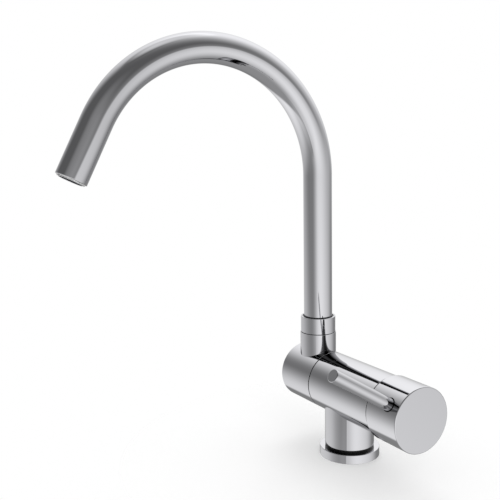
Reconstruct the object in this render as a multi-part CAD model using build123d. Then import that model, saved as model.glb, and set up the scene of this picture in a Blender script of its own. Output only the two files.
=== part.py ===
from build123d import *

import math
import os

# Three way filtered water tap, in millimetres.
# Origin: centre of the base ring's underside, on the worktop. +Z is up, +X runs along the
# horizontal barrel towards the lever knob and -Y is the front, where the spout points.

# ---- outside sizes, which set the look -----------------------------------------------------
FLANGE_RADIUS = 24.5  # chrome base ring on the worktop
FLANGE_HEIGHT = 7.3
GAP_RING_HEIGHT = 1.95  # black ring between base ring and column
COLUMN_RADIUS = 20.15
BARREL_AXIS_Z = 55.2  # height of the horizontal barrel's axis
BARREL_RADIUS = 24.0
BODY_LEFT = 24.6  # body's left end face, from the column axis
BODY_RIGHT = 52.45  # body's right end face, from the column axis
SEAM = 0.6  # both thin rings between the barrel's segments
HOLDER_LENGTH = 40.1  # left segment, which carries the spout
KNOB_OVERHANG = 1.5  # knob's radius over the barrel's
KNOB_LENGTH = 33.05
SPOUT_FROM_SEAM = 19.15  # spout axis, from the holder's right face
LOWER_COLLAR_RADIUS = 15.2
LOWER_COLLAR_HEIGHT = 14.8  # above the barrel's top
UPPER_COLLAR_RADIUS = 14.7
UPPER_COLLAR_HEIGHT = 13.5
COLLAR_SEAM = 0.3
TUBE_RADIUS = 12.0
TUBE_WALL = 1.2
TUBE_LIP_EDGE = 0.25
RISER_TOP = 172.5  # start of the arch, above the barrel axis
ARCH_RADIUS = 100.7
ARCH_ANGLE = 152.3
NOZZLE_LENGTH = 44.8  # straight run after the arch
LEVER_RADIUS = 5.0
LEVER_REACH = 84.2  # lever tip, from the barrel axis
LEVER_ELEVATION = 31.7  # lever above the horizontal, pointing to the front
LEVER_FROM_END = 11.4  # lever axis, from the knob's end face
EDGE = 0.4  # broken outer edges

# ---- fits ----------------------------------------------------------------------------------
RUNNING = 0.07  # radial clearance of turning fits
FREE = 0.6  # clearance where pieces only pass each other
OVER = 1.0  # how far a cutter runs past a face, and joined shapes into each other

# ---- base and column -----------------------------------------------------------------------
SPIGOT_RADIUS = 15.4  # body's lower end, inside both rings, flush with the worktop
GAP_RING_INSET = 0.25
DECK_SEAL_OUTER = 23.0
DECK_SEAL_WIDTH = 3.0
DECK_SEAL_HEIGHT = 2.0
HOSE_THREAD_RADIUS = 4.5  # tapping size of the M10 x 1 hose threads
HOSE_THREAD_DEPTH = 11.0
VALVE_RADIUS = 4.2
VALVE_LENGTH = 12.0
VALVE_WALL = 0.9
VALVE_SEAT = 2.0
INLET_RADIUS = 3.0
STUD_THREAD_RADIUS = 3.4  # tapping size of the M8 fixing stud
STUD_THREAD_DEPTH = 14.0
STUD_OFFSET = 10.6
FILTER_INLET_OFFSET = 9.4
MIXER_INLET_BACK = 3.0

# ---- cartridge, on the barrel axis, right of the column ------------------------------------
CHAMBER_WALL = 4.0  # body's wall round the cartridge
CHAMBER_FLOOR = 14.0  # from the column axis
PORT_RADIUS = 2.8
PORT_RIM = 5.6  # port circle, inside the disks' edge
PORT_SEAL_RADIUS = 3.9
PORT_SEAL_DEPTH = 1.0
CARTRIDGE_BASE_LENGTH = 6.0
PEG_RADIUS = 1.5
PEG_RIM = 3.5  # peg circle, inside the cartridge's edge
PEG_LENGTH = 3.0
DISK_RIM = 3.4  # disks, inside the cartridge's edge
DISK_THICKNESS = 4.0
DISK_GROOVE_DEPTH = 1.8
KIDNEY_WIDTH = 40.0  # degrees, less than the gap between two ports
CARRIER_LENGTH = 4.5
CARRIER_KEY = 10.0
CARRIER_KEY_LENGTH = 1.5
HOUSING_FRONT = 5.0
THRUST_WASHER = 1.5
STEM_RADIUS = 7.0
STEM_SQUARE = 8.0
STEM_ENGAGEMENT = 10.5  # square end inside the knob's hub
STEM_ROUND_PAST_HOUSING = 6.0
STEM_KEY_LENGTH = 3.0
NUT_WALL = 2.5  # body's wall round the cartridge nut
NUT_LENGTH = 10.0
NUT_BORE = 12.0
NUT_SLEEVE_STEP = 0.3  # sleeve smaller than the nut's thread
NUT_SLEEVE_LENGTH = 10.0
NUT_SLOT_WIDTH = 5.0
NUT_SLOT_DEPTH = 2.5
NUT_SLOT_TURNS = (45, 135)
GUIDE_RING_LENGTH = 2.5

# ---- knob and lever ------------------------------------------------------------------------
KNOB_WALL = 2.7
KNOB_END_WALL = 5.5
KNOB_EDGE = 0.8
HUB_RADIUS = 9.0
HUB_LENGTH = 18.5
HUB_SQUARE_PLAY = 0.1
LEVER_BOSS_RADIUS = 7.0
LEVER_THREAD_RADIUS = 3.0
LEVER_SOCKET_DEPTH = 5.0  # lever's full diameter inside the knob
LEVER_THREAD_LENGTH = 8.0
LEVER_RING_WIDTH = 0.9
LEVER_RING_SINK = 1.4  # ring's top below the knob's surface
LEVER_TIP_EDGE = 0.7
GRUB_LENGTH = 6.0
GRUB_SOCKET_RADIUS = 1.25
GRUB_SOCKET_DEPTH = 3.0

# ---- pivot of the spout holder, on the barrel axis -----------------------------------------
SPINDLE_THREAD_DEPTH = 10.0
END_CAVITY_DEPTH = 9.3  # journal's left end, from the holder's left face
SPINDLE_NOSE_RADIUS = 4.0
SPINDLE_NOSE_LENGTH = 8.6
MIXED_CAVITY = 4.6
FILTER_TURN_GAP = 3.0
FILTER_BORE = 2.2
MIXED_BORE = 2.0
MIXED_BORE_INSET = 3.6  # bore circle, inside the spindle's surface
MIXED_BORE_ANGLES = (45, 135, 225, 315)
MIXED_GROOVE_FROM_SEAM = 10.6
WATER_GROOVE_WIDTH = 5.0
CROSS_BORE_ANGLES = (0, 90)
FILTER_GROOVE_DEPTH = 2.0
MIXED_GROOVE_DEPTH = 4.2
ORING_WIDTH = 2.2
ORING_DEPTH = 1.6
ORING_EDGE = 0.4
PIVOT_ORING_PLACES = (5.0, 14.9, 23.6)  # from the holder's right face
PIVOT_BUSH_WALL = 2.0
PIVOT_BUSH_TO_PIN = 1.6
PIVOT_BUSH_LENGTH = 3.0
THREAD_END_STEP = 2.0  # threaded end, smaller than the journal
END_THREAD_LENGTH = 5.2
PIVOT_WASHER_PLAY = 2.0  # inside the end cavity
PIVOT_WASHER_THICKNESS = 1.2
PIVOT_NUT_STEP = 4.0  # nut's flats, inside the washer's edge
END_CAVITY_WALL = 6.0
END_CAP_WALL = 4.0
END_CAP_THICKNESS = 3.2
SEAM_WASHER_WIDTH = 4.1
SEAM_WASHER_SINK = 0.7
STOP_PIN_RADIUS = 2.0
STOP_PIN_INSET = 7.4  # pin circle, inside the barrel's surface
STOP_PIN_ANGLE = 270  # straight below the axis
STOP_PIN_REACH = 3.4  # into the holder's slot
STOP_PIN_SEAT = 8.0  # into the body
STOP_SLOT_PLAY = 0.3
FOLD_ANGLE = 90.0
HALF_TURN = 180.0

# ---- swivel of the spout, on the spout axis ------------------------------------------------
SWIVEL_FLOOR_WALL = 1.8  # between the spindle and the swivel bore
SWIVEL_RADIUS = 11.2  # journal of the swivel sleeve
SWIVEL_BORE = 8.6
SLEEVE_LIFT = 1.0  # sleeve's foot above the bore's floor
SHOULDER_SEAT_DEPTH = 12.0  # step in the lower collar, below its top
STOP_RING_THICKNESS = 1.0
SHOULDER_RADIUS = 12.5
SHOULDER_HEIGHT = 2.0
SHOULDER_PLAY = 0.1
GLIDE_RING_THICKNESS = 0.9
SKIRT_RADIUS = 13.6
SKIRT_BORE = 11.1
LEDGE_HEIGHT = 1.4  # collar nut's floor under the tube
TUBE_LIFT = 0.4  # tube's end above that floor
SLEEVE_TAIL = 14.0  # sleeve inside the tube
BUSH_RADIUS = 13.2
BUSH_HEIGHT = 8.0
BUSH_SINK = 0.8
SWIVEL_LIMIT = 160.0  # each way from the front
TAB_PLAY = 0.5  # degrees left between the stops at the limit
TAB_DEPTH = 0.9
SWIVEL_ORING_PLACES = (2.6, 8.2)  # above the sleeve's foot
FILTER_POST_RADIUS = 5.2
FILTER_POST_HEIGHT = 7.0
FILTER_POST_FOOT = 3.4
HOSE_TAIL_RADIUS = 3.1
HOSE_TAIL_DEPTH = 5.5
HOSE_RADIUS = 4.0
HOSE_BORE = 2.8
HOSE_TAIL_COLLAR = 1.5
HOSE_BARB = 9.0

# ---- aerator, in the nozzle ----------------------------------------------------------------
AERATOR_RECESS = 0.8
AERATOR_LENGTH = 14.0
AERATOR_LIP = 1.0
AERATOR_SHELL_WALL = 1.0
AERATOR_SEAL_HEIGHT = 1.5
INSERT_LENGTH = 9.0
SEAT_RING_WALL = 1.2
SEAT_RING_LENGTH = 5.0
FILTER_JET_RADIUS = 3.2
FILTER_JET_BORE = 1.9
JET_BARB_LENGTH = 8.0
RING_JETS = 12
RING_JET_RADIUS = 0.8
RING_JET_CIRCLE = 7.2
SCREEN_THICKNESS = 0.6
SCREEN_CELLS = 7
SCREEN_PITCH = 2.2
SCREEN_WIRE = 0.7
KEY_NOTCH_WIDTH = 2.0
KEY_NOTCH_DEPTH = 1.0
KEY_NOTCH_TURNS = (0, 90)

# ---- places worked out from the sizes above ------------------------------------------------
column_bottom = FLANGE_HEIGHT + GAP_RING_HEIGHT
gap_ring_radius = COLUMN_RADIUS - GAP_RING_INSET
seam_ring_radius = BARREL_RADIUS - SEAM_WASHER_SINK
seam_washer_bore = seam_ring_radius - SEAM_WASHER_WIDTH
cartridge_radius = BARREL_RADIUS - CHAMBER_WALL
peg_circle = cartridge_radius - PEG_RIM
disk_radius = cartridge_radius - DISK_RIM
nut_radius = BARREL_RADIUS - NUT_WALL
nut_sleeve_radius = nut_radius - NUT_SLEEVE_STEP
end_cavity_radius = BARREL_RADIUS - END_CAVITY_WALL
end_cap_radius = BARREL_RADIUS - END_CAP_WALL
stop_pin_circle = BARREL_RADIUS - STOP_PIN_INSET
pivot_bush_radius = stop_pin_circle - STOP_PIN_RADIUS - PIVOT_BUSH_TO_PIN
spindle_radius = pivot_bush_radius - PIVOT_BUSH_WALL
mixed_bore_circle = spindle_radius - MIXED_BORE_INSET
thread_end_radius = spindle_radius - THREAD_END_STEP
pivot_washer_radius = end_cavity_radius - PIVOT_WASHER_PLAY
swivel_floor = spindle_radius + SWIVEL_FLOOR_WALL  # above the barrel axis
port_circle = disk_radius - PORT_RIM
knob_radius = BARREL_RADIUS + KNOB_OVERHANG
lever_seat = knob_radius - LEVER_SOCKET_DEPTH  # from the barrel axis
lever_thread_end = lever_seat - LEVER_THREAD_LENGTH
lower_collar_top = BARREL_RADIUS + LOWER_COLLAR_HEIGHT  # above the barrel axis
shoulder_seat = lower_collar_top - SHOULDER_SEAT_DEPTH
holder_right = -BODY_LEFT - SEAM
holder_left = holder_right - HOLDER_LENGTH
spout_x = holder_right - SPOUT_FROM_SEAM
knob_left = BODY_RIGHT + SEAM
knob_right = knob_left + KNOB_LENGTH
lever_x = knob_right - LEVER_FROM_END
upper_collar_bottom = lower_collar_top + COLLAR_SEAM
upper_collar_top = upper_collar_bottom + UPPER_COLLAR_HEIGHT

COLUMN = Location((0, 0, 0))
BARREL = Location((0, 0, BARREL_AXIS_Z), (0, 90, 0))  # local Z runs along +X
SPOUT = Location((spout_x, 0, BARREL_AXIS_Z))
LEVER = Location((lever_x, 0, BARREL_AXIS_Z), (90 - LEVER_ELEVATION, 0, 0))


def turned(place, outline):
    """Solid of revolution about the local Z axis, from (radius, height) points."""
    face = make_face(Plane.XZ * Polyline(*outline, close=True))
    return place * revolve(face, Axis.Z, 360)


def rod(place, radius, low, high, low_edge=0.0, high_edge=0.0):
    """Round bar with optional chamfers."""
    points = [(0, low), (radius - low_edge, low)]
    if low_edge:
        points.append((radius, low + low_edge))
    if high_edge:
        points.append((radius, high - high_edge))
    points += [(radius - high_edge, high), (0, high)]
    return turned(place, points)


def ring(place, outer, inner, low, high, low_edge=0.0, high_edge=0.0):
    """Round ring with optional chamfers on its outer edges."""
    return rod(place, outer, low, high, low_edge, high_edge) - rod(place, inner, low - OVER, high + OVER)


def oring(place, outer, depth, centre):
    """Sealing ring as it sits in its groove, with rounded corners."""
    low = centre - ORING_WIDTH / 2
    high = centre + ORING_WIDTH / 2
    solid = ring(place, outer, outer - depth, low, high)
    rims = solid.edges().filter_by(GeomType.CIRCLE)
    return fillet(rims, ORING_EDGE)


def journal_oring(place, journal, centre):
    """Sealing ring in a journal's groove, just clear of the bore it seals."""
    return oring(place, journal + RUNNING / 2, ORING_DEPTH + RUNNING / 2, centre)


def groove(place, radius, depth, centre, width):
    """Material to take away for a groove round a bar."""
    return ring(place, radius + OVER, radius - depth, centre - width / 2, centre + width / 2)


def drill(start, end, radius):
    """Round passage from one point to another."""
    path = Vector(*end) - Vector(*start)
    plane = Plane(origin=start, z_dir=path)
    low_end = (Align.CENTER, Align.CENTER, Align.MIN)
    return Location(plane) * Cylinder(radius, path.length, align=low_end)


def barrel_point(x, radius, angle):
    """Point at a radius about the barrel axis. The angle starts at +Y and turns towards +Z."""
    turn = math.radians(angle)
    return (x, radius * math.cos(turn), BARREL_AXIS_Z + radius * math.sin(turn))


def sector(place, outer, inner, low, high, middle, width):
    """Part of a ring, its middle at an angle and its width in degrees."""
    half = math.radians(width / 2)
    mid = math.radians(middle)
    reach = outer / math.cos(half) + OVER
    wedge = [
        (0, 0),
        (reach * math.cos(mid - half), reach * math.sin(mid - half)),
        (reach * math.cos(mid + half), reach * math.sin(mid + half)),
    ]
    cutter = place * Pos(0, 0, low) * extrude(make_face(Polyline(*wedge, close=True)), high - low)
    return ring(place, outer, inner, low, high) & cutter


BARREL_TURN = 90  # from barrel_point's angles to sector's on the barrel

# ---- port layout about the barrel axis, as angles from +Y towards +Z -----------------------
FILTER_IN_ANGLE = 270
COLD_IN_ANGLE = 198
HOT_IN_ANGLE = 342
MIXED_OUT_ANGLE = 54
FILTER_OUT_ANGLE = 126
PORT_ANGLES = (FILTER_IN_ANGLE, COLD_IN_ANGLE, HOT_IN_ANGLE, MIXED_OUT_ANGLE, FILTER_OUT_ANGLE)
PEG_ANGLES = (90, 234)
KIDNEY_ANGLES = (18, 162)

cold_port = barrel_point(0, port_circle, COLD_IN_ANGLE)
INLETS = {
    FILTER_IN_ANGLE: (FILTER_INLET_OFFSET, 0),
    COLD_IN_ANGLE: (-MIXER_INLET_BACK, cold_port[1]),
    HOT_IN_ANGLE: (-MIXER_INLET_BACK, -cold_port[1]),
}
valve_top = HOSE_THREAD_DEPTH + VALVE_LENGTH
cavity_left = -BODY_LEFT + SPINDLE_THREAD_DEPTH
cavity_right = cavity_left + MIXED_CAVITY
nose_end = cavity_left + SPINDLE_NOSE_LENGTH
filter_turn = nose_end + FILTER_TURN_GAP  # where the filtered outlet turns to the axis
nut_left = CHAMBER_FLOOR + CARTRIDGE_BASE_LENGTH + 2 * DISK_THICKNESS + CARRIER_LENGTH
nut_left += THRUST_WASHER + HOUSING_FRONT
nut_right = nut_left + NUT_LENGTH
sleeve_right = nut_right + NUT_SLEEVE_LENGTH


def tap_body():
    """Brass body: middle barrel and column in one casting, with its drilled waterways."""
    barrel = rod(BARREL, BARREL_RADIUS, -BODY_LEFT, BODY_RIGHT, EDGE, EDGE)
    column = rod(COLUMN, COLUMN_RADIUS, column_bottom, BARREL_AXIS_Z, EDGE)
    spigot = rod(COLUMN, SPIGOT_RADIUS, 0, column_bottom + OVER)
    body = barrel + column + spigot
    # cartridge chamber and its nut thread
    body -= rod(BARREL, cartridge_radius, CHAMBER_FLOOR, BODY_RIGHT + OVER)
    body -= rod(BARREL, nut_radius, nut_left, BODY_RIGHT + OVER)
    for angle in PEG_ANGLES:
        start = barrel_point(CHAMBER_FLOOR + OVER, peg_circle, angle)
        end = barrel_point(CHAMBER_FLOOR - PEG_LENGTH, peg_circle, angle)
        body -= drill(start, end, PEG_RADIUS)
    # spindle seat, mixed water cavity and filtered water nose
    body -= rod(BARREL, spindle_radius, -BODY_LEFT - OVER, cavity_right)
    body -= rod(BARREL, SPINDLE_NOSE_RADIUS, cavity_right - OVER, nose_end)
    # three inlets from below, each with thread, valve seat and passage to the chamber floor
    for angle, (x, y) in INLETS.items():
        top = barrel_point(x, port_circle, angle)[2]
        body -= drill((x, y, -OVER), (x, y, HOSE_THREAD_DEPTH), HOSE_THREAD_RADIUS)
        body -= drill((x, y, HOSE_THREAD_DEPTH - OVER), (x, y, valve_top), VALVE_RADIUS)
        body -= drill((x, y, valve_top - OVER), (x, y, top), INLET_RADIUS)
        start = (CHAMBER_FLOOR + OVER, y, top)
        body -= drill(start, (x, y, top), PORT_RADIUS)
    body -= drill((-STUD_OFFSET, 0, -OVER), (-STUD_OFFSET, 0, STUD_THREAD_DEPTH), STUD_THREAD_RADIUS)
    # mixed and filtered outlets to the left
    for angle, end in ((MIXED_OUT_ANGLE, cavity_right - OVER), (FILTER_OUT_ANGLE, filter_turn)):
        start = barrel_point(CHAMBER_FLOOR + OVER, port_circle, angle)
        body -= drill(start, barrel_point(end, port_circle, angle), MIXED_BORE)
    axis_turn = barrel_point(filter_turn, 0, 0)
    body -= drill(barrel_point(filter_turn, port_circle, FILTER_OUT_ANGLE), axis_turn, MIXED_BORE)
    body -= drill(barrel_point(nose_end - OVER, 0, 0), axis_turn, MIXED_BORE)
    # seat of the fold stop pin
    pin_start = barrel_point(-BODY_LEFT - OVER, stop_pin_circle, STOP_PIN_ANGLE)
    pin_end = barrel_point(-BODY_LEFT + STOP_PIN_SEAT, stop_pin_circle, STOP_PIN_ANGLE)
    return body - drill(pin_start, pin_end, STOP_PIN_RADIUS)


def inlet_valve(x, y):
    """One non-return valve: tube, seat and a guided poppet on a cross."""
    place = Location((x, y, HOSE_THREAD_DEPTH))
    valve = ring(place, VALVE_RADIUS, VALVE_RADIUS - VALVE_WALL, 0, VALVE_LENGTH)
    valve += ring(place, VALVE_RADIUS, VALVE_RADIUS - 2 * VALVE_WALL, 0, VALVE_SEAT)
    valve += rod(place, VALVE_RADIUS - 3 * VALVE_WALL, VALVE_SEAT, VALVE_LENGTH)
    bar = Box(2 * VALVE_RADIUS - VALVE_WALL, VALVE_WALL, VALVE_SEAT)
    middle = Pos(0, 0, VALVE_LENGTH - VALVE_SEAT / 2)
    return valve + place * middle * bar + place * middle * Rot(0, 0, 90) * bar


deck_seal_bore = DECK_SEAL_OUTER - DECK_SEAL_WIDTH


def base_flange():
    flange = ring(COLUMN, FLANGE_RADIUS, SPIGOT_RADIUS, 0, FLANGE_HEIGHT, EDGE, EDGE)
    return flange - ring(COLUMN, DECK_SEAL_OUTER, deck_seal_bore, -OVER, DECK_SEAL_HEIGHT)


base_end = CHAMBER_FLOOR + CARTRIDGE_BASE_LENGTH
disks_meet = base_end + DISK_THICKNESS
moving_end = disks_meet + DISK_THICKNESS
carrier_end = moving_end + CARRIER_LENGTH
washer_end = carrier_end + THRUST_WASHER
housing_bore = disk_radius + FREE


def cartridge_base():
    """Plastic foot of the cartridge, with five ports and two locating pegs."""
    base = rod(BARREL, cartridge_radius, CHAMBER_FLOOR, base_end, EDGE)
    for angle in PORT_ANGLES:
        low = barrel_point(CHAMBER_FLOOR - OVER, port_circle, angle)
        seal_end = barrel_point(CHAMBER_FLOOR + PORT_SEAL_DEPTH, port_circle, angle)
        base -= drill(low, barrel_point(base_end + OVER, port_circle, angle), PORT_RADIUS)
        base -= drill(low, seal_end, PORT_SEAL_RADIUS)
    for angle in PEG_ANGLES:
        tip = barrel_point(CHAMBER_FLOOR - PEG_LENGTH, peg_circle, angle)
        base += drill(tip, barrel_point(CHAMBER_FLOOR + OVER, peg_circle, angle), PEG_RADIUS)
    return base


def port_seal(angle):
    low = barrel_point(CHAMBER_FLOOR, port_circle, angle)
    high = barrel_point(CHAMBER_FLOOR + PORT_SEAL_DEPTH, port_circle, angle)
    return drill(low, high, PORT_SEAL_RADIUS) - drill(low, high, PORT_RADIUS)


def fixed_disk():
    disk = rod(BARREL, housing_bore, base_end, disks_meet)
    for angle in PORT_ANGLES:
        low = barrel_point(base_end - OVER, port_circle, angle)
        disk -= drill(low, barrel_point(disks_meet + OVER, port_circle, angle), PORT_RADIUS)
    return disk


def square_bar(side, low, high):
    """Square bar on the barrel axis, one flat facing the lever."""
    bar = Box(high - low, side, side, align=(Align.MIN, Align.CENTER, Align.CENTER))
    return Pos(low, 0, BARREL_AXIS_Z) * Rot(-LEVER_ELEVATION, 0, 0) * bar


def moving_disk():
    """Ceramic disk with two kidney channels, driven by a square key."""
    disk = rod(BARREL, disk_radius, disks_meet, moving_end)
    inner = port_circle - PORT_RADIUS
    outer = port_circle + PORT_RADIUS
    high = disks_meet + DISK_GROOVE_DEPTH
    for middle in KIDNEY_ANGLES:
        turn = middle + BARREL_TURN
        disk -= sector(BARREL, outer, inner, disks_meet - OVER, high, turn, KIDNEY_WIDTH)
    return disk - square_bar(CARRIER_KEY, moving_end - CARRIER_KEY_LENGTH, moving_end + OVER)


def disk_carrier():
    carrier = rod(BARREL, disk_radius, moving_end, carrier_end)
    carrier += square_bar(CARRIER_KEY, moving_end - CARRIER_KEY_LENGTH, moving_end + OVER)
    return carrier - square_bar(STEM_SQUARE, carrier_end - STEM_KEY_LENGTH, carrier_end + OVER)


def cartridge_housing():
    housing = rod(BARREL, cartridge_radius, base_end, nut_left)
    housing -= rod(BARREL, housing_bore, base_end - OVER, washer_end)
    return housing - rod(BARREL, STEM_RADIUS + RUNNING, washer_end - OVER, nut_left + OVER)


hub_left = knob_right - KNOB_END_WALL - HUB_LENGTH
stem_end = hub_left + STEM_ENGAGEMENT
stem_round_end = nut_left + STEM_ROUND_PAST_HOUSING
stem_seal_place = nut_left - HOUSING_FRONT / 2
knob_bore = knob_radius - KNOB_WALL


def cartridge_stem():
    stem = rod(BARREL, STEM_RADIUS, carrier_end, stem_round_end, 0, EDGE)
    stem += square_bar(STEM_SQUARE, carrier_end - STEM_KEY_LENGTH, stem_end)
    return stem - groove(BARREL, STEM_RADIUS, ORING_DEPTH, stem_seal_place, ORING_WIDTH)


def cartridge_nut():
    """Brass nut that holds the cartridge, with a sleeve that guides the knob."""
    nut = ring(BARREL, nut_radius, NUT_BORE, nut_left, nut_right)
    sleeve_bore = nut_sleeve_radius - KNOB_WALL
    nut += ring(BARREL, nut_sleeve_radius, sleeve_bore, nut_right - OVER, sleeve_right, 0, EDGE)
    nut -= rod(BARREL, sleeve_bore, nut_right, sleeve_right + OVER)
    slot = Box(2 * nut_radius + OVER, NUT_SLOT_WIDTH, 2 * NUT_SLOT_DEPTH)
    for turn in NUT_SLOT_TURNS:
        nut -= BARREL * Pos(0, 0, sleeve_right) * Rot(0, 0, turn) * slot
    return nut


def knob_guide_ring():
    """Plastic ring on the nut's sleeve, on which the knob turns."""
    high = sleeve_right - NUT_SLOT_DEPTH
    return ring(BARREL, knob_bore - RUNNING, nut_sleeve_radius, high - GUIDE_RING_LENGTH, high)


def knob_shell():
    """Chrome knob: skirt, flat end, hub for the stem and boss for the lever."""
    knob = rod(BARREL, knob_radius, knob_left, knob_right, EDGE, KNOB_EDGE)
    cavity_end = knob_right - KNOB_END_WALL
    knob -= rod(BARREL, knob_bore, knob_left - OVER, cavity_end)
    hub = rod(BARREL, HUB_RADIUS, hub_left, cavity_end + OVER)
    boss = rod(LEVER, LEVER_BOSS_RADIUS, STEM_SQUARE / 2, knob_bore + OVER)
    inside = rod(BARREL, knob_bore + OVER, hub_left, cavity_end + OVER)
    knob += hub + (boss & inside)
    knob -= square_bar(STEM_SQUARE + 2 * HUB_SQUARE_PLAY, hub_left - OVER, stem_end + FREE)
    knob -= rod(LEVER, LEVER_THREAD_RADIUS, 0, lever_seat + OVER)
    return knob - rod(LEVER, LEVER_RADIUS + LEVER_RING_WIDTH, lever_seat, knob_radius + OVER)


def lever_pin():
    pin = rod(LEVER, LEVER_RADIUS, lever_seat, LEVER_REACH, 0, LEVER_TIP_EDGE)
    return pin + rod(LEVER, LEVER_THREAD_RADIUS, lever_thread_end, lever_seat + OVER)


def lever_ring():
    high = knob_radius - LEVER_RING_SINK
    return ring(LEVER, LEVER_RADIUS + LEVER_RING_WIDTH, LEVER_RADIUS, lever_seat, high)


def grub_screw():
    low = STEM_SQUARE / 2
    high = low + GRUB_LENGTH
    socket = extrude(RegularPolygon(GRUB_SOCKET_RADIUS, 6), GRUB_SOCKET_DEPTH + OVER)
    screw = rod(LEVER, LEVER_THREAD_RADIUS, low, high, EDGE)
    return screw - LEVER * Pos(0, 0, high - GRUB_SOCKET_DEPTH) * socket


journal_end = holder_left + END_CAVITY_DEPTH
spindle_end = journal_end - END_THREAD_LENGTH
washer_low = journal_end - PIVOT_WASHER_THICKNESS
cap_inner = holder_left + END_CAP_THICKNESS
mixed_groove_x = holder_right - MIXED_GROOVE_FROM_SEAM


def pivot_spindle():
    """Hollow brass journal on which the spout holder folds, with both waterways."""
    spindle = rod(BARREL, spindle_radius, journal_end, cavity_left, EDGE)
    spindle += rod(BARREL, thread_end_radius, spindle_end, journal_end + OVER, EDGE)
    spindle += rod(BARREL, SPINDLE_NOSE_RADIUS, cavity_left - OVER, nose_end)
    for place in PIVOT_ORING_PLACES:
        spindle -= groove(BARREL, spindle_radius, ORING_DEPTH, holder_right - place, ORING_WIDTH)
    spindle -= groove(BARREL, spindle_radius, FILTER_GROOVE_DEPTH, spout_x, WATER_GROOVE_WIDTH)
    spindle -= groove(BARREL, spindle_radius, MIXED_GROOVE_DEPTH, mixed_groove_x, WATER_GROOVE_WIDTH)
    spindle -= rod(BARREL, FILTER_BORE, spout_x - FILTER_BORE, nose_end + OVER)
    for angle in MIXED_BORE_ANGLES:
        low = barrel_point(mixed_groove_x, mixed_bore_circle, angle)
        spindle -= drill(low, barrel_point(cavity_left + OVER, mixed_bore_circle, angle), MIXED_BORE)
    for angle in CROSS_BORE_ANGLES:
        low = barrel_point(spout_x, spindle_radius, angle)
        spindle -= drill(low, barrel_point(spout_x, spindle_radius, angle + HALF_TURN), MIXED_BORE)
    return spindle


def pivot_bush(low):
    return ring(BARREL, pivot_bush_radius, spindle_radius + RUNNING, low, low + PIVOT_BUSH_LENGTH)


def pivot_nut():
    low = spindle_end
    hexagon = RegularPolygon(pivot_washer_radius - PIVOT_NUT_STEP, 6, major_radius=False)
    nut = BARREL * Pos(0, 0, low) * extrude(hexagon, washer_low - low)
    return nut - rod(BARREL, thread_end_radius, low - OVER, washer_low + OVER)


def fold_stop_pin():
    low = barrel_point(holder_right - STOP_PIN_REACH, stop_pin_circle, STOP_PIN_ANGLE)
    high = barrel_point(-BODY_LEFT + STOP_PIN_SEAT, stop_pin_circle, STOP_PIN_ANGLE)
    return drill(low, high, STOP_PIN_RADIUS)


def spout_holder():
    """Left barrel segment with the lower collar, turning on the spindle."""
    holder = rod(BARREL, BARREL_RADIUS, holder_left, holder_right, EDGE, EDGE)
    holder += rod(SPOUT, LOWER_COLLAR_RADIUS, 0, lower_collar_top, 0, EDGE / 2)
    holder -= rod(BARREL, spindle_radius + RUNNING, journal_end - OVER, holder_right + OVER)
    holder -= rod(BARREL, pivot_bush_radius, holder_right - PIVOT_BUSH_LENGTH, holder_right + OVER)
    holder -= rod(BARREL, pivot_bush_radius, journal_end - OVER, journal_end + PIVOT_BUSH_LENGTH)
    holder -= rod(BARREL, end_cavity_radius, cap_inner - OVER, journal_end)
    holder -= rod(BARREL, end_cap_radius, holder_left - OVER, cap_inner)
    holder -= rod(SPOUT, SWIVEL_RADIUS + RUNNING, swivel_floor, shoulder_seat + OVER)
    holder -= rod(SPOUT, SKIRT_RADIUS, shoulder_seat, lower_collar_top + OVER)
    holder -= rod(SPOUT, FILTER_POST_FOOT, 0, swivel_floor + OVER)
    port_top = BARREL_AXIS_Z + swivel_floor + OVER
    holder -= drill((mixed_groove_x, 0, BARREL_AXIS_Z), (mixed_groove_x, 0, port_top), MIXED_BORE)
    # arc slot for the fold stop pin
    half = STOP_PIN_RADIUS + STOP_SLOT_PLAY
    low = holder_right - STOP_PIN_REACH - FREE
    high = holder_right + OVER
    middle = STOP_PIN_ANGLE - FOLD_ANGLE / 2 + BARREL_TURN
    holder -= sector(BARREL, stop_pin_circle + half, stop_pin_circle - half, low, high, middle, FOLD_ANGLE)
    for angle in (STOP_PIN_ANGLE - FOLD_ANGLE, STOP_PIN_ANGLE):
        start = barrel_point(low, stop_pin_circle, angle)
        holder -= drill(start, barrel_point(high, stop_pin_circle, angle), half)
    return holder


sleeve_foot = swivel_floor + SLEEVE_LIFT
shoulder_low = shoulder_seat + STOP_RING_THICKNESS + SHOULDER_PLAY
shoulder_high = shoulder_low + SHOULDER_HEIGHT
glide_low = shoulder_high + SHOULDER_PLAY
skirt_low = glide_low + GLIDE_RING_THICKNESS
ledge_top = upper_collar_bottom + LEDGE_HEIGHT
tube_foot = ledge_top + TUBE_LIFT
tube_bore = TUBE_RADIUS - TUBE_WALL
bush_top = upper_collar_top - BUSH_SINK
tab_width = HALF_TURN - SWIVEL_LIMIT - TAB_PLAY
FRONT, REAR = 270, 90


def collar_nut():
    """Upper collar, screwed into the lower one to hold the swivel sleeve down."""
    nut = rod(SPOUT, UPPER_COLLAR_RADIUS, upper_collar_bottom, upper_collar_top, EDGE / 2, EDGE)
    nut += rod(SPOUT, SKIRT_RADIUS, skirt_low, upper_collar_bottom + OVER)
    nut -= rod(SPOUT, SKIRT_BORE, skirt_low - OVER, ledge_top + OVER)
    return nut - rod(SPOUT, BUSH_RADIUS, ledge_top, upper_collar_top + OVER)


def swivel_stop_ring():
    high = shoulder_seat + STOP_RING_THICKNESS
    stop = ring(SPOUT, SKIRT_RADIUS, SWIVEL_RADIUS + RUNNING, shoulder_seat, high)
    inner = SHOULDER_RADIUS + SHOULDER_PLAY
    return stop + sector(SPOUT, SKIRT_RADIUS, inner, high - EDGE, shoulder_high, REAR, tab_width)


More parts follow.
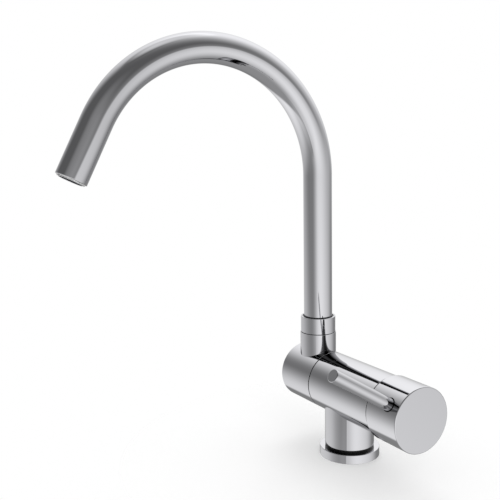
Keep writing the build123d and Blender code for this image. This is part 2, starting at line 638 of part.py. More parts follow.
def swivel_sleeve():
    """Brass foot of the spout: journal, shoulder with its stop tab, and neck."""
    sleeve = rod(SPOUT, SWIVEL_RADIUS, sleeve_foot, shoulder_low + OVER, EDGE)
    sleeve += rod(SPOUT, SHOULDER_RADIUS, shoulder_low, shoulder_high)
    tab_radius = SHOULDER_RADIUS + TAB_DEPTH
    tab_root = SHOULDER_RADIUS - OVER
    sleeve += sector(SPOUT, tab_radius, tab_root, shoulder_low, shoulder_high, FRONT, tab_width)
    sleeve += rod(SPOUT, tube_bore, shoulder_low, tube_foot + SLEEVE_TAIL, 0, EDGE)
    sleeve -= rod(SPOUT, SWIVEL_BORE, sleeve_foot - OVER, tube_foot + SLEEVE_TAIL + OVER)
    for place in SWIVEL_ORING_PLACES:
        sleeve -= groove(SPOUT, SWIVEL_RADIUS, ORING_DEPTH, sleeve_foot + place, ORING_WIDTH)
    return sleeve


post_top = swivel_floor + FILTER_POST_HEIGHT
tail_low = post_top - HOSE_TAIL_DEPTH
tail_seat = post_top + FREE
hose_low = tail_seat + HOSE_TAIL_COLLAR


def filter_post():
    """Brass post that brings the filtered water up the middle of the swivel."""
    post = rod(SPOUT, FILTER_POST_RADIUS, swivel_floor, post_top, 0, EDGE)
    post += rod(SPOUT, FILTER_POST_FOOT, spindle_radius + FREE, swivel_floor + OVER)
    post -= rod(SPOUT, FILTER_JET_BORE, 0, post_top + OVER)
    return post - rod(SPOUT, HOSE_TAIL_RADIUS + RUNNING, tail_low - FREE, post_top + OVER)


def hose_tail():
    tail = rod(SPOUT, HOSE_TAIL_RADIUS, tail_low, hose_low)
    tail += rod(SPOUT, HOSE_RADIUS, tail_seat, hose_low)
    tail += rod(SPOUT, HOSE_BORE, hose_low - OVER, hose_low + HOSE_BARB, 0, EDGE)
    return tail - rod(SPOUT, FILTER_JET_BORE, tail_low - OVER, hose_low + HOSE_BARB + OVER)


arch_turn = math.radians(ARCH_ANGLE)
arch_end_y = ARCH_RADIUS * (math.cos(arch_turn) - 1)
arch_end_z = RISER_TOP + ARCH_RADIUS * math.sin(arch_turn)
NOZZLE = SPOUT * Location((0, arch_end_y, arch_end_z), (ARCH_ANGLE, 0, 0))


def bent_pipe(outer, inner, foot, end):
    """Pipe up the riser, over the arch and down the nozzle to a length past the arch."""
    riser = ring(SPOUT, outer, inner, foot, RISER_TOP)
    section = Pos(0, 0, RISER_TOP) * (Circle(outer) - Circle(inner))
    hinge = Axis((0, -ARCH_RADIUS, RISER_TOP), (1, 0, 0))
    arch = SPOUT * revolve(section, hinge, ARCH_ANGLE)
    return riser + arch + ring(NOZZLE, outer, inner, 0, end)


def spout_tube():
    tube = bent_pipe(TUBE_RADIUS, tube_bore, tube_foot, NOZZLE_LENGTH)
    lip = tube.edges().filter_by(GeomType.CIRCLE).sort_by(Axis.Y)[:2]
    return chamfer(lip, TUBE_LIP_EDGE)


shell_end = NOZZLE_LENGTH - AERATOR_RECESS
shell_start = shell_end - AERATOR_LENGTH
seal_start = shell_start - AERATOR_SEAL_HEIGHT
seat_start = seal_start - SEAT_RING_LENGTH
shell_bore = tube_bore - AERATOR_SHELL_WALL
screen_end = shell_end - AERATOR_LIP
insert_end = screen_end - SCREEN_THICKNESS
insert_start = insert_end - INSERT_LENGTH


def filter_hose():
    return bent_pipe(HOSE_RADIUS, HOSE_BORE, hose_low, insert_start)


def aerator_shell():
    shell = ring(NOZZLE, tube_bore, shell_bore, shell_start, shell_end)
    shell += ring(NOZZLE, shell_bore + EDGE, shell_bore - AERATOR_LIP, screen_end, shell_end)
    notch = Box(2 * tube_bore, KEY_NOTCH_WIDTH, 2 * KEY_NOTCH_DEPTH)
    middle = rod(NOZZLE, shell_bore - 2 * AERATOR_LIP, screen_end - OVER, shell_end + OVER)
    for turn in KEY_NOTCH_TURNS:
        shell -= (NOZZLE * Pos(0, 0, shell_end) * Rot(0, 0, turn) * notch) - middle
    return shell


def aerator_insert():
    """Flow former: ring jets for mixed water and a centre jet for filtered water."""
    insert = rod(NOZZLE, shell_bore, insert_start, insert_end)
    insert += rod(NOZZLE, FILTER_JET_RADIUS, insert_start, shell_end - EDGE)
    insert += rod(NOZZLE, HOSE_BORE, insert_start - JET_BARB_LENGTH, insert_start + OVER, EDGE)
    insert -= rod(NOZZLE, FILTER_JET_BORE, insert_start - JET_BARB_LENGTH - OVER, shell_end + OVER)
    for count in range(RING_JETS):
        jet = NOZZLE * Rot(0, 0, 360 * count / RING_JETS) * Pos(RING_JET_CIRCLE, 0, 0)
        insert -= rod(jet, RING_JET_RADIUS, insert_start - OVER, insert_end + OVER)
    return insert


def aerator_screen():
    """Flat woven screen across the outlet, round the centre jet."""
    cell = SCREEN_PITCH - SCREEN_WIRE
    cells = GridLocations(SCREEN_PITCH, SCREEN_PITCH, SCREEN_CELLS, SCREEN_CELLS).locations
    inside = shell_bore - SCREEN_WIRE
    outside = FILTER_JET_RADIUS + SCREEN_WIRE
    sheet = Circle(shell_bore) - Circle(FILTER_JET_RADIUS)
    for place in cells:
        centre = place.position.length
        if outside + cell / 2 < centre < inside - cell / 2:
            sheet -= place * Rectangle(cell, cell)
    return NOZZLE * Pos(0, 0, insert_end) * extrude(sheet, SCREEN_THICKNESS)


PIECES = {
    "tap_body": tap_body(),
    "base_flange": base_flange(),
    "gap_ring": ring(COLUMN, gap_ring_radius, SPIGOT_RADIUS, FLANGE_HEIGHT, column_bottom),
    "deck_seal": ring(COLUMN, DECK_SEAL_OUTER, deck_seal_bore, 0, DECK_SEAL_HEIGHT),
    "inlet_check_valves": Compound([inlet_valve(x, y) for x, y in INLETS.values()]),
    "cartridge_base": cartridge_base(),
    "port_seals": Compound([port_seal(angle) for angle in PORT_ANGLES]),
    "fixed_disk": fixed_disk(),
    "moving_disk": moving_disk(),
    "disk_carrier": disk_carrier(),
    "thrust_washer": ring(BARREL, disk_radius, STEM_RADIUS, carrier_end, washer_end),
    "cartridge_housing": cartridge_housing(),
    "cartridge_stem": cartridge_stem(),
    "stem_seal": journal_oring(BARREL, STEM_RADIUS, stem_seal_place),
    "cartridge_nut": cartridge_nut(),
    "knob_guide_ring": knob_guide_ring(),
    "knob_seam_ring": ring(BARREL, seam_ring_radius, nut_sleeve_radius, BODY_RIGHT, knob_left),
    "knob_shell": knob_shell(),
    "lever_pin": lever_pin(),
    "lever_ring": lever_ring(),
    "grub_screw": grub_screw(),
    "pivot_spindle": pivot_spindle(),
    "pivot_orings": Compound(
        [journal_oring(BARREL, spindle_radius, holder_right - place) for place in PIVOT_ORING_PLACES]
    ),
    "pivot_bushes": Compound([pivot_bush(holder_right - PIVOT_BUSH_LENGTH), pivot_bush(journal_end)]),
    "fold_washer": ring(BARREL, seam_ring_radius, seam_washer_bore, holder_right, -BODY_LEFT),
    "fold_stop_pin": fold_stop_pin(),
    "pivot_washer": ring(BARREL, pivot_washer_radius, thread_end_radius, washer_low, journal_end),
    "pivot_nut": pivot_nut(),
    "spout_holder": spout_holder(),
    "holder_end_cap": rod(BARREL, end_cap_radius, holder_left, cap_inner, EDGE),
    "filter_post": filter_post(),
    "collar_nut": collar_nut(),
    "swivel_stop_ring": swivel_stop_ring(),
    "swivel_glide_ring": ring(SPOUT, SKIRT_RADIUS, SKIRT_BORE, glide_low, skirt_low),
    "collar_bush": ring(SPOUT, BUSH_RADIUS, TUBE_RADIUS + RUNNING, bush_top - BUSH_HEIGHT, bush_top),
    "swivel_sleeve": swivel_sleeve(),
    "swivel_orings": Compound(
        [journal_oring(SPOUT, SWIVEL_RADIUS, sleeve_foot + place) for place in SWIVEL_ORING_PLACES]
    ),
    "hose_tail": hose_tail(),
    "filter_hose": filter_hose(),
    "spout_tube": spout_tube(),
    "nozzle_seat_ring": ring(NOZZLE, tube_bore, tube_bore - SEAT_RING_WALL, seat_start, seal_start),
    "aerator_seal": ring(NOZZLE, tube_bore, tube_bore - AERATOR_SHELL_WALL, seal_start, shell_start),
    "aerator_shell": aerator_shell(),
    "aerator_insert": aerator_insert(),
    "aerator_screen": aerator_screen(),
}

os.makedirs("parts", exist_ok=True)
for node, solid in PIECES.items():
    export_step(solid, f"parts/{node}.step")
    print(node, round(solid.volume, 1))
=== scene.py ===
"""Looks of a three way filtered water tap, built round its packed construction model.

The origin is the centre of the base ring's underside, +Z is up, +X runs along the barrel towards
the lever knob and -Y is the front. Lengths are in millimetres, except in properties, meshes and the
studio, where they are in metres. Angles are in degrees, except in properties.
"""

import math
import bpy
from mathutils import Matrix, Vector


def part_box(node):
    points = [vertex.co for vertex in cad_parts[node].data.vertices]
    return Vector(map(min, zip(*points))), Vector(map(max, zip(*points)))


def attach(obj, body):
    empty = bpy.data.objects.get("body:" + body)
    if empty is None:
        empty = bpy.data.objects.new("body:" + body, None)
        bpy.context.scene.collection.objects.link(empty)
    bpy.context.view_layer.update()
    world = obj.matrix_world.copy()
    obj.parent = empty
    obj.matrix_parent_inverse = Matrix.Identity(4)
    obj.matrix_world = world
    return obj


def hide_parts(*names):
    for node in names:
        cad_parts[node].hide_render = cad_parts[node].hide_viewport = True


bl_info = {
    "name": "Three Way Filtered Water Tap",
    "version": (1, 0, 0),
    "blender": (4, 5, 0),
    "location": "3D View > Sidebar > Tap",
    "description": "Builds the visible pieces, finishes and studio of a kitchen tap",
    "category": "Add Mesh",
}

from collections import namedtuple
from types import SimpleNamespace

import bmesh
import bpy
import numpy as np
from bpy.props import FloatProperty, FloatVectorProperty, IntProperty, PointerProperty
from mathutils import Matrix, Vector

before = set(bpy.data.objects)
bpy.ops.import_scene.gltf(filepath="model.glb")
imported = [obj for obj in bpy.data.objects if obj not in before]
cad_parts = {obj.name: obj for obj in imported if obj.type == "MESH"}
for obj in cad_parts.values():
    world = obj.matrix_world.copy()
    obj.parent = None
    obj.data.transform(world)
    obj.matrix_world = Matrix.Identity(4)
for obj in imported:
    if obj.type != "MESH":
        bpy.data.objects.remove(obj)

MM = 0.001

# ---- places read from the frame --------------------------------------------------------------
NODE_BOXES = {node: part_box(node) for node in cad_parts}
Point = namedtuple("Point", "x y z")


def in_mm(place):
    """A place of the frame in millimetres."""
    return Point(*(v / MM for v in place))


def low(node):
    """Lowest corner of a construction node."""
    return in_mm(NODE_BOXES[node][0])


def high(node):
    """Highest corner of a construction node."""
    return in_mm(NODE_BOXES[node][1])


def middle(node):
    """Middle of a construction node's box."""
    return in_mm((NODE_BOXES[node][0] + NODE_BOXES[node][1]) / 2)


AXIS_Z = middle("knob_shell").z  # height of the barrel's axis
BARREL_RADIUS = high("spout_holder").y
SPOUT_X = middle("collar_nut").x
LEVER_X = middle("lever_pin").x
LEVER_RADIUS = high("lever_pin").x - LEVER_X
TUBE_RADIUS = SPOUT_X - low("spout_tube").x

# ---- sizes that no box gives -----------------------------------------------------------------
OVER = 1.0  # how far joined shapes and cutters run into or past each other
RING_EDGE, SOFT_EDGE, RIM_EDGE, CAP_EDGE = 0.1, 0.2, 0.25, 0.3  # roundings of lesser edges

# steps round a piece
ROD_STEPS, BORE_STEPS, INLET_STEPS, DRILL_STEPS, SLOT_STEPS = 128, 96, 64, 48, 24

# body: steps in its ends that widen the seams, and the spindle's seat, along the barrel
DECK_SEAL_BORE = 20.0
STEP_RADIUS, FOLD_STEP, KNOB_STEP = 22.7, 0.45, 1.3
SEAT_END, NOSE_RADIUS, NOSE_END = -10.0, 4.0, -6.0

# bores in the underside for hoses, with their check valves, and for the stud
THREAD_ROOT, THREAD_DEPTH = 5.0, 11.0
VALVE_RADIUS, VALVE_TOP = 4.2, 23.0
INLET_RADIUS, PORT_RADIUS = 3.0, 2.8
HOSES = (
    # water, x, y, top of the bore
    ("cold", -3, -10.46, 51.8),
    ("hot", -3, 10.46, 51.8),
    ("filter", 9.4, 0, 44.2),
)
STUD_X, STUD_ROOT, STUD_DEPTH = -10.6, 4.0, 14.0
HOSE_THREAD = (THREAD_ROOT, 4.5, 1.0, 10.0)  # root radius, crest radius, pitch, turns
STUD_THREAD = (STUD_ROOT, 3.4, 1.25, 10.6)
THREAD_FLANK = 0.48  # half a ridge's width, as a share of the pitch
THREAD_STEPS = 32  # in a turn

# outlets of the cartridge, and the pin that stops the fold in its arc slot
OUTLET_Y, OUTLET_Z, OUTLET_RADIUS = 6.47, 64.1, 2.0
SLOT_CIRCLE, SLOT_HALF, SLOT_DEPTH = 16.6, 2.3, 4.0
PIN_RADIUS, PIN_Z = 2.0, 38.6
PASSAGES = (
    # start, end, radius
    ((STUD_X, 0, -OVER), (STUD_X, 0, STUD_DEPTH), STUD_ROOT),  # fixing stud
    ((15, OUTLET_Y, OUTLET_Z), (-11, OUTLET_Y, OUTLET_Z), OUTLET_RADIUS),  # mixed water, to the spindle
    ((15, -OUTLET_Y, OUTLET_Z), (-3, -OUTLET_Y, OUTLET_Z), OUTLET_RADIUS),  # filtered water
    ((-3, -OUTLET_Y, OUTLET_Z), (-3, 0, AXIS_Z), OUTLET_RADIUS),  # across to the axis
    ((-7, 0, AXIS_Z), (-3, 0, AXIS_Z), OUTLET_RADIUS),  # and along it to the spindle's nose
    ((-25.6, 0, PIN_Z), (-16.6, 0, PIN_Z), PIN_RADIUS),  # seat of the stop pin
)

# seam rings
KNOB_SEAM_BORE, FOLD_WASHER_BORE = 21.2, 19.2
SEAM_PLAY = 0.03  # gap between a seam's ring and the chrome round it

# knob and lever
KNOB_END_WALL, HUB_LENGTH, HUB_RADIUS, SQUARE_HOLE, SQUARE_END = 5.5, 18.5, 9.0, 8.2, 73.2
BOSS_RADIUS, BOSS_START, LEVER_SCREW_RADIUS, LEVER_TAIL = 7.0, 4.0, 3.0, 8.0
LEVER_SOCKET, LEVER_REACH, LEVER_RING_WIDTH, LEVER_RING_TOP = 5.0, 84.2, 0.6, 24.1

# spout holder: room for the pivot's nut, bushes and spindle along the barrel, then the swivel
NUT_ROOM_RADIUS, NUT_ROOM_END = 18.0, -56.0
BUSH_RADIUS, LEFT_BUSH_END, RIGHT_BUSH_LENGTH, SPINDLE_BORE = 13.0, -53.0, 3.0, 11.07
SWIVEL_FLOOR, SWIVEL_BORE, SHOULDER_SEAT = 12.8, 11.27, 26.8

# upper collar
COLLAR_BOTTOM, LEDGE_HEIGHT = 94.3, 1.4
SKIRT_BORE, SKIRT_RADIUS = 11.1, 13.6
TUBE_PLAY = 0.07  # between the tube and the guide bush

# spout and its outlet, along the nozzle
TUBE_RINGS, TUBE_SIDES, LIP_SEGMENTS, LIP_ANGLE = 300, 96, 3, 50
SHELL_START, SHELL_END = 30.0, 45.25  # aerator's ring
RIM_START, RIM_END, RIM_INNER, RIM_OUTER = 43.6, 45.75, 9.0, 10.4  # bright rim, which holds the screen
KEY_NOTCH_WIDTH, KEY_NOTCH_DEPTH, KEY_NOTCH_TURNS = 2.0, 1.2, (-15, 75, 165, 255)
SCREEN_INNER, SCREEN_OUTER, SCREEN_PLACE = 3.2, 9.8, 42.7
SCREEN_LINES, WIRE_STEPS, WIRE_SIDES = 19, 4, 6  # wires each way, steps in a pitch, sides of a wire
HOOP_STEPS = 64


def srgb(code):
    """Linear colour of an sRGB hex code such as '#DDDFE2'."""
    levels = [int(code[place : place + 2], 16) / 255 for place in (1, 3, 5)]
    return [v / 12.92 if v <= 0.04045 else ((v + 0.055) / 1.055) ** 2.4 for v in levels]


# ---- what a user would change ----------------------------------------------------------------
def size_field(name, description, length):
    """A length in a property group, with its default in millimetres."""
    return FloatProperty(name=name, description=description, default=length * MM, unit="LENGTH", precision=5)


def angle_field(name, description, angle):
    """An angle in a property group, with its default in degrees."""
    return FloatProperty(name=name, description=description, default=math.radians(angle), unit="ROTATION")


def colour_field(name, description, code):
    """A colour in a property group, with its default as a hex code."""
    default = srgb(code)
    return FloatVectorProperty(name=name, description=description, default=default, size=3, subtype="COLOR")


class TapSizes(bpy.types.PropertyGroup):
    """Sizes of the pieces that the construction nodes' boxes don't give."""

    edge: size_field("Polished edge", "Rounding of the outer edges", 0.35)
    fine_edge: size_field("Fine edge", "Rounding of the feet and of the upper collar's mouth", 0.15)
    knob_edge: size_field("Knob edge", "Rounding at the knob's two ends", 0.8)
    lever_edge: size_field("Lever edge", "Rounding at the lever's tip", 0.7)
    column_radius: size_field("Column radius", "Radius of the upright column", 20.15)
    spigot_radius: size_field("Spigot radius", "Body inside the base ring", 15.4)
    lower_collar_radius: size_field("Lower collar radius", "Collar that is one with the holder", 15.2)
    lever_elevation: angle_field("Lever elevation", "Lever above the horizontal at rest", 31.7)
    riser_top: size_field("Riser top", "Height at which the arch starts", 227.7)
    arch_radius: size_field("Arch radius", "Radius of the spout's arch, to the tube's axis", 100.7)
    arch_angle: angle_field("Arch angle", "Angle that the spout turns through", 152.3)
    nozzle_length: size_field("Nozzle length", "Straight run after the arch", 44.8)
    lip_edge: size_field("Lip edge", "Rounding at the spout's lip", 0.5)
    seam_edge: size_field("Seam edge", "Rounding at the barrel's seams", 0.12)
    tube_wall: size_field("Tube wall", "Wall of the spout tube", 1.2)
    screen_pitch: size_field("Screen pitch", "Spacing of the aerator screen's wires", 1.1)
    screen_wire: size_field("Screen wire", "Thickness of the aerator screen's wires", 0.3)
    knob_wall: size_field("Knob wall", "Wall of the knob's skirt", 2.7)
    round_steps: IntProperty(name="Steps", description="Steps round a large piece", default=192, min=24)


class TapColours(bpy.types.PropertyGroup):
    """Base colours of the finishes."""

    chrome: colour_field("Chrome", "Polished chrome plating", "#C3C3C6")
    brass: colour_field("Brass", "Machined brass", "#D9B56C")
    steel: colour_field("Steel", "Stainless steel", "#C9CACC")
    black: colour_field("Black plastic", "Rings between the chrome pieces", "#0C0C0D")
    white: colour_field("White plastic", "Bearings and slide rings", "#EAEAE8")
    grey: colour_field("Grey plastic", "Cartridge and flow former", "#7D8084")
    ceramic: colour_field("Ceramic", "Cartridge disks", "#EDEAE2")
    rubber: colour_field("Rubber", "Seals", "#151515")
    hose: colour_field("Hose", "Filtered water hose", "#D4DEE4")
    floor: colour_field("Floor", "Floor under the tap", "#F4F4F4")


def sizes_in_mm(context):
    """The sizes that a user can change, with each length in millimetres."""
    group = context.scene.tap_sizes
    sizes = {name: getattr(group, name) for name in group.__annotations__}
    for name in sizes:
        if group.bl_rna.properties[name].unit == "LENGTH":
            sizes[name] /= MM
    return SimpleNamespace(**sizes)


# ---- finishes --------------------------------------------------------------------------------
WIPE_MARK, WHEEL_WAVE = 38, 16  # spacing of the wiping marks and of the polishing wheel's waves
CHROME_RIM = 0.7  # how much of the light a grazing look at the chrome keeps
TOOL_MARK, DULL_PATCH = 0.35, 12  # spacing of the turning marks on brass and of its dull patches
DRAWN_LINE = 0.8  # spacing of the drawing lines on steel
WAVE_BANDS = 20  # a wave texture's phase for one unit of its scale, in radians


def add(tree, kind, links=None, **settings):
    """Adds a node with its settings. links maps an input's name or number to a value, to a socket
    or to a node, which stands for its first output."""
    made = tree.nodes.new(kind)
    for key, value in settings.items():
        setattr(made, key, value)
    for key, value in (links or {}).items():
        if isinstance(value, bpy.types.Node):
            value = value.outputs[0]
        if isinstance(value, bpy.types.NodeSocket):
            tree.links.new(value, made.inputs[key])
        else:
            made.inputs[key].default_value = value
    return made


def new_material(name):
    """An empty material, its node tree, and a point's place in the model as a socket."""
    material = bpy.data.materials.new(name)
    material.use_nodes = True
    tree = material.node_tree
    tree.nodes.clear()
    return material, tree, add(tree, "ShaderNodeTexCoord").outputs["Object"]


def colour4(colour):
    """A colour with full alpha."""
    return (*colour, 1.0)


def polished_chrome(colours):
    """Chrome plated on hand polished brass: a cool mirror with a little haze where it was wiped,
    and a very slight waviness left by the polishing wheel."""
    material, tree, place = new_material("polished_chrome")
    wiped = add(tree, "ShaderNodeTexNoise", {"Vector": place, "Scale": 1 / (WIPE_MARK * MM), "Detail": 3.0})
    haze = add(tree, "ShaderNodeMapRange", {
        "Value": wiped, "From Min": 0.35, "From Max": 0.75, "To Min": 0.012, "To Max": 0.035,
    })
    wheel = add(tree, "ShaderNodeTexNoise", {"Vector": place, "Scale": 1 / (WHEEL_WAVE * MM), "Detail": 1.0})
    wavy = add(tree, "ShaderNodeBump", {"Height": wheel, "Strength": 0.35, "Distance": 0.01 * MM})
    shader = add(tree, "ShaderNodeBsdfPrincipled", {
        "Base Color": colour4(colours.chrome), "Metallic": 1.0, "Roughness": haze, "Normal": wavy,
        "Specular Tint": colour4([CHROME_RIM] * 3),
    })
    add(tree, "ShaderNodeOutputMaterial", {"Surface": shader})
    return material


def machined_brass(colours):
    """Turned brass: warm and bright, with tool marks of about a third of a millimetre across the
    barrel's axis and duller patches from handling."""
    material, tree, place = new_material("machined_brass")
    scale = 2 * math.pi / (WAVE_BANDS * TOOL_MARK * MM)
    marks = add(
        tree,
        "ShaderNodeTexWave",
        {"Vector": place, "Scale": scale, "Distortion": 0.4, "Detail": 1.0},
        wave_type="BANDS",
        bands_direction="X",
    )
    cut = add(tree, "ShaderNodeBump", {"Height": marks, "Strength": 0.3, "Distance": 0.02 * MM})
    dull = add(tree, "ShaderNodeTexNoise", {"Vector": place, "Scale": 1 / (DULL_PATCH * MM), "Detail": 4.0})
    rough = add(tree, "ShaderNodeMapRange", {"Value": dull, "To Min": 0.18, "To Max": 0.38})
    shader = add(tree, "ShaderNodeBsdfPrincipled", {
        "Base Color": colour4(colours.brass), "Metallic": 1.0, "Roughness": rough, "Normal": cut,
    })
    add(tree, "ShaderNodeOutputMaterial", {"Surface": shader})
    return material


def stainless_steel(colours):
    """Drawn stainless steel, as in wire and small screws: grey and satin, with fine marks from the
    drawing die."""
    material, tree, place = new_material("stainless_steel")
    lines = add(tree, "ShaderNodeTexNoise", {"Vector": place, "Scale": 1 / (DRAWN_LINE * MM), "Detail": 5.0})
    rough = add(tree, "ShaderNodeMapRange", {"Value": lines, "To Min": 0.2, "To Max": 0.42})
    drawn = add(tree, "ShaderNodeBump", {"Height": lines, "Strength": 0.2, "Distance": 0.01 * MM})
    shader = add(tree, "ShaderNodeBsdfPrincipled", {
        "Base Color": colour4(colours.steel), "Metallic": 1.0, "Roughness": rough, "Normal": drawn,
    })
    add(tree, "ShaderNodeOutputMaterial", {"Surface": shader})
    return material


def moulded(name, colour, gloss, grain):
    """Moulded or pressed material: even in colour, with the mould's fine grain and a gloss that
    varies a little. gloss is its least and most roughness, grain the grain's size."""
    material, tree, place = new_material(name)
    pores = add(tree, "ShaderNodeTexNoise", {"Vector": place, "Scale": 1 / (grain * MM), "Detail": 3.0})
    flow = add(tree, "ShaderNodeTexNoise", {"Vector": place, "Scale": 1 / (20 * grain * MM), "Detail": 2.0})
    rough = add(tree, "ShaderNodeMapRange", {"Value": flow, "To Min": gloss[0], "To Max": gloss[1]})
    tone = add(
        tree,
        "ShaderNodeMix",
        {"Factor": flow, "A": colour4([0.93 * c for c in colour]), "B": colour4(colour)},
        data_type="RGBA",
    )
    grained = add(tree, "ShaderNodeBump", {"Height": pores, "Strength": 0.25, "Distance": 0.02 * MM})
    shader = add(tree, "ShaderNodeBsdfPrincipled", {
        "Base Color": tone.outputs["Result"], "Roughness": rough, "IOR": 1.48, "Normal": grained,
    })
    add(tree, "ShaderNodeOutputMaterial", {"Surface": shader})
    return material


# ---- turned pieces ---------------------------------------------------------------------------
NORMAL = "true_normal"  # exact surface normals, kept through the boolean cuts
STRAY = 0.5  # a kept normal shorter than this, or leaning further from its face, is dropped
ARC_STEPS = 5  # in a rounding
TINY = 1e-8  # lengths below this count as none


def at(x, y, z):
    """An upright frame at a place in millimetres."""
    return Matrix.Translation((x * MM, y * MM, z * MM))


def facing(way):
    """The turn that brings Z along a direction, with Y as far up as it goes."""
    return way.to_track_quat("Z", "Y").to_matrix().to_4x4()


COLUMN_PLACE = at(0, 0, 0)
BARREL_PLACE = at(0, 0, AXIS_Z) @ Matrix.Rotation(math.radians(90), 4, "Y")
SPOUT_PLACE = at(SPOUT_X, 0, AXIS_Z)


def lever_place(s):
    """Frame whose Z runs out along the lever."""
    return at(LEVER_X, 0, AXIS_Z) @ Matrix.Rotation(math.radians(90) - s.lever_elevation, 4, "X")


def nozzle_place(s):
    """Frame at the arch's end, whose Z runs down along the nozzle."""
    back, up = s.arch_radius * (1 - math.cos(s.arch_angle)), s.arch_radius * math.sin(s.arch_angle)
    return at(SPOUT_X, -back, s.riser_top + up) @ Matrix.Rotation(s.arch_angle, 4, "X")


def ring(bore, radius, start, end, first=0, last=0, inner=0):
    """Outline of a ring. first, last and inner round its outer start, outer end and inner end."""
    return [(bore, start), (radius, start, first), (radius, end, last), (bore, end, inner)]


def rod(radius, start, end, first=0, last=0):
    """Outline of a rod, with the rounding of its two ends."""
    return ring(0, radius, start, end, first, last)


def rounded(corners):
    """Runs of a closed outline, as (start, end, normal at the start, normal at the end).

    A corner is (radius, height) or (radius, height, rounding), counterclockwise."""
    points = [Vector(corner[:2]) for corner in corners]
    bends = []  # where each corner is reached and left, and its arc's points with their normals
    for i, corner in enumerate(corners):
        before = (points[i] - points[i - 1]).normalized()
        after = (points[(i + 1) % len(points)] - points[i]).normalized()
        rounding = corner[2] if len(corner) > 2 else 0
        if not rounding:
            bends.append((points[i], points[i], []))
            continue
        normal = Vector((before.y, -before.x))
        turn = before.angle_signed(after)  # clockwise turns are positive
        side = 1 if turn < 0 else -1
        reach = rounding * math.tan(abs(turn) / 2)
        centre = points[i] - before * reach - side * rounding * normal
        arc = []
        for k in range(ARC_STEPS + 1):
            sine, cosine = math.sin(-turn * k / ARC_STEPS), math.cos(-turn * k / ARC_STEPS)
            swung = Vector((normal.x * cosine - normal.y * sine, normal.x * sine + normal.y * cosine))
            arc.append((centre + side * rounding * swung, swung))
        bends.append((arc[0][0], arc[-1][0], arc))
    runs = []
    for i, (_, leave, arc) in enumerate(bends):
        for (start, first), (end, second) in zip(arc, arc[1:]):
            runs.append((start, end, first, second))
        reach = bends[(i + 1) % len(bends)][0]
        way = (reach - leave).normalized()
        normal = Vector((way.y, -way.x))
        runs.append((leave, reach, normal, normal))
    return runs


def turned(outline, place, steps, sweep=(0, 360), cutter=False):
    """A mesh turned round the place's Z from a closed outline in millimetres, with its exact
    normals. sweep is the first angle and the angle turned, in degrees."""
    runs = rounded([[v * MM for v in corner] for corner in outline])
    whole = sweep[1] == 360
    count = steps if whole else steps + 1
    angles = [math.radians(sweep[0] + sweep[1] * k / steps) for k in range(count)]
    vertices, faces, normals, hoops = [], [], [], {}

    def hoop(point):
        """The vertices that a point of the outline passes, made once."""
        key = (round(point.x, 9), round(point.y, 9))
        if key not in hoops:
            if point.x < TINY:
                hoops[key] = [len(vertices)] * count
                vertices.append((0, 0, point.y))
            else:
                hoops[key] = list(range(len(vertices), len(vertices) + count))
                vertices.extend((point.x * math.cos(a), point.x * math.sin(a), point.y) for a in angles)
        return hoops[key]

    for start, end, first, second in runs:
        if max(start.x, end.x) < TINY or (start - end).length < TINY:
            continue
        inner, outer = hoop(start), hoop(end)
        for k in range(steps):
            n = (k + 1) % count
            face = [(inner[k], k, first), (inner[n], n, first), (outer[n], n, second), (outer[k], k, second)]
            if start.x < TINY:
                face.pop(1)
            elif end.x < TINY:
                face.pop(2)
            faces.append([corner[0] for corner in face])
            normals.extend((v.x * math.cos(angles[j]), v.x * math.sin(angles[j]), v.y) for _, j, v in face)
    if not whole:  # the sector's two flat ends
        loop = [hoop(start) for start, end, _, _ in runs if (start - end).length > TINY]
        for face in ([h[0] for h in loop], [h[-1] for h in reversed(loop)]):
            faces.append(face)
            normals.extend([(0, 0, 0)] * len(face))
    mesh = bpy.data.meshes.new("turned")
    mesh.from_pydata(vertices, [], faces, shade_flat=False)
    kept = np.array(normals) @ np.array(place.to_3x3()).T * (-1 if cutter else 1)
    layer = mesh.attributes.new(NORMAL, "FLOAT_VECTOR", "CORNER")
    layer.data.foreach_set("vector", kept.ravel().astype(np.float32))
    mesh.transform(place)
    return mesh


def drilled(start, end, radius):
    """A round cutter between two points."""
    start, end = Vector(start), Vector(end)
    place = Matrix.Translation(start * MM) @ facing(end - start)
    return turned(rod(radius, 0, (end - start).length), place, DRILL_STEPS, cutter=True)


def boxed(low_corner, high_corner, place):
    """A box cutter between two corners in a place's own frame."""
    mesh = bpy.data.meshes.new("boxed")
    shape = bmesh.new()
    centre = (Vector(low_corner) + Vector(high_corner)) / 2
    size = (Vector(high_corner) - Vector(low_corner)) * MM
    bmesh.ops.create_cube(shape, size=1, matrix=place @ at(*centre) @ Matrix.Diagonal((*size, 1)))
    shape.to_mesh(mesh)
    shape.free()
    mesh.attributes.new(NORMAL, "FLOAT_VECTOR", "CORNER")
    return mesh


def made_plain(piece, name):
    """Turns what a piece's modifiers give into its own mesh."""
    mesh = bpy.data.meshes.new_from_object(piece.evaluated_get(bpy.context.evaluated_depsgraph_get()))
    piece.modifiers.clear()
    piece.data = mesh
    mesh.name = name
    return mesh


def give_true_normals(mesh):
    """Gives a mesh's corners the normals that its attribute kept. Those that a cut has lost or
    bent get their face's own."""
    normals = np.zeros(len(mesh.loops) * 3, np.float32)
    mesh.attributes[NORMAL].data.foreach_get("vector", normals)
    normals = normals.reshape(-1, 3)
    faces = np.zeros(len(mesh.polygons) * 3, np.float32)
    mesh.polygons.foreach_get("normal", faces)
    sides = np.zeros(len(mesh.polygons), np.int32)
    mesh.polygons.foreach_get("loop_total", sides)
    flat = np.repeat(faces.reshape(-1, 3), sides, axis=0)
    length = np.linalg.norm(normals, axis=1, keepdims=True)
    lost = (length < STRAY) | ((normals * flat).sum(1, keepdims=True) < STRAY * length)
    normals = np.where(lost, flat, normals / np.maximum(length, TINY))
    mesh.attributes.remove(mesh.attributes[NORMAL])
    mesh.normals_split_custom_set(normals.tolist())


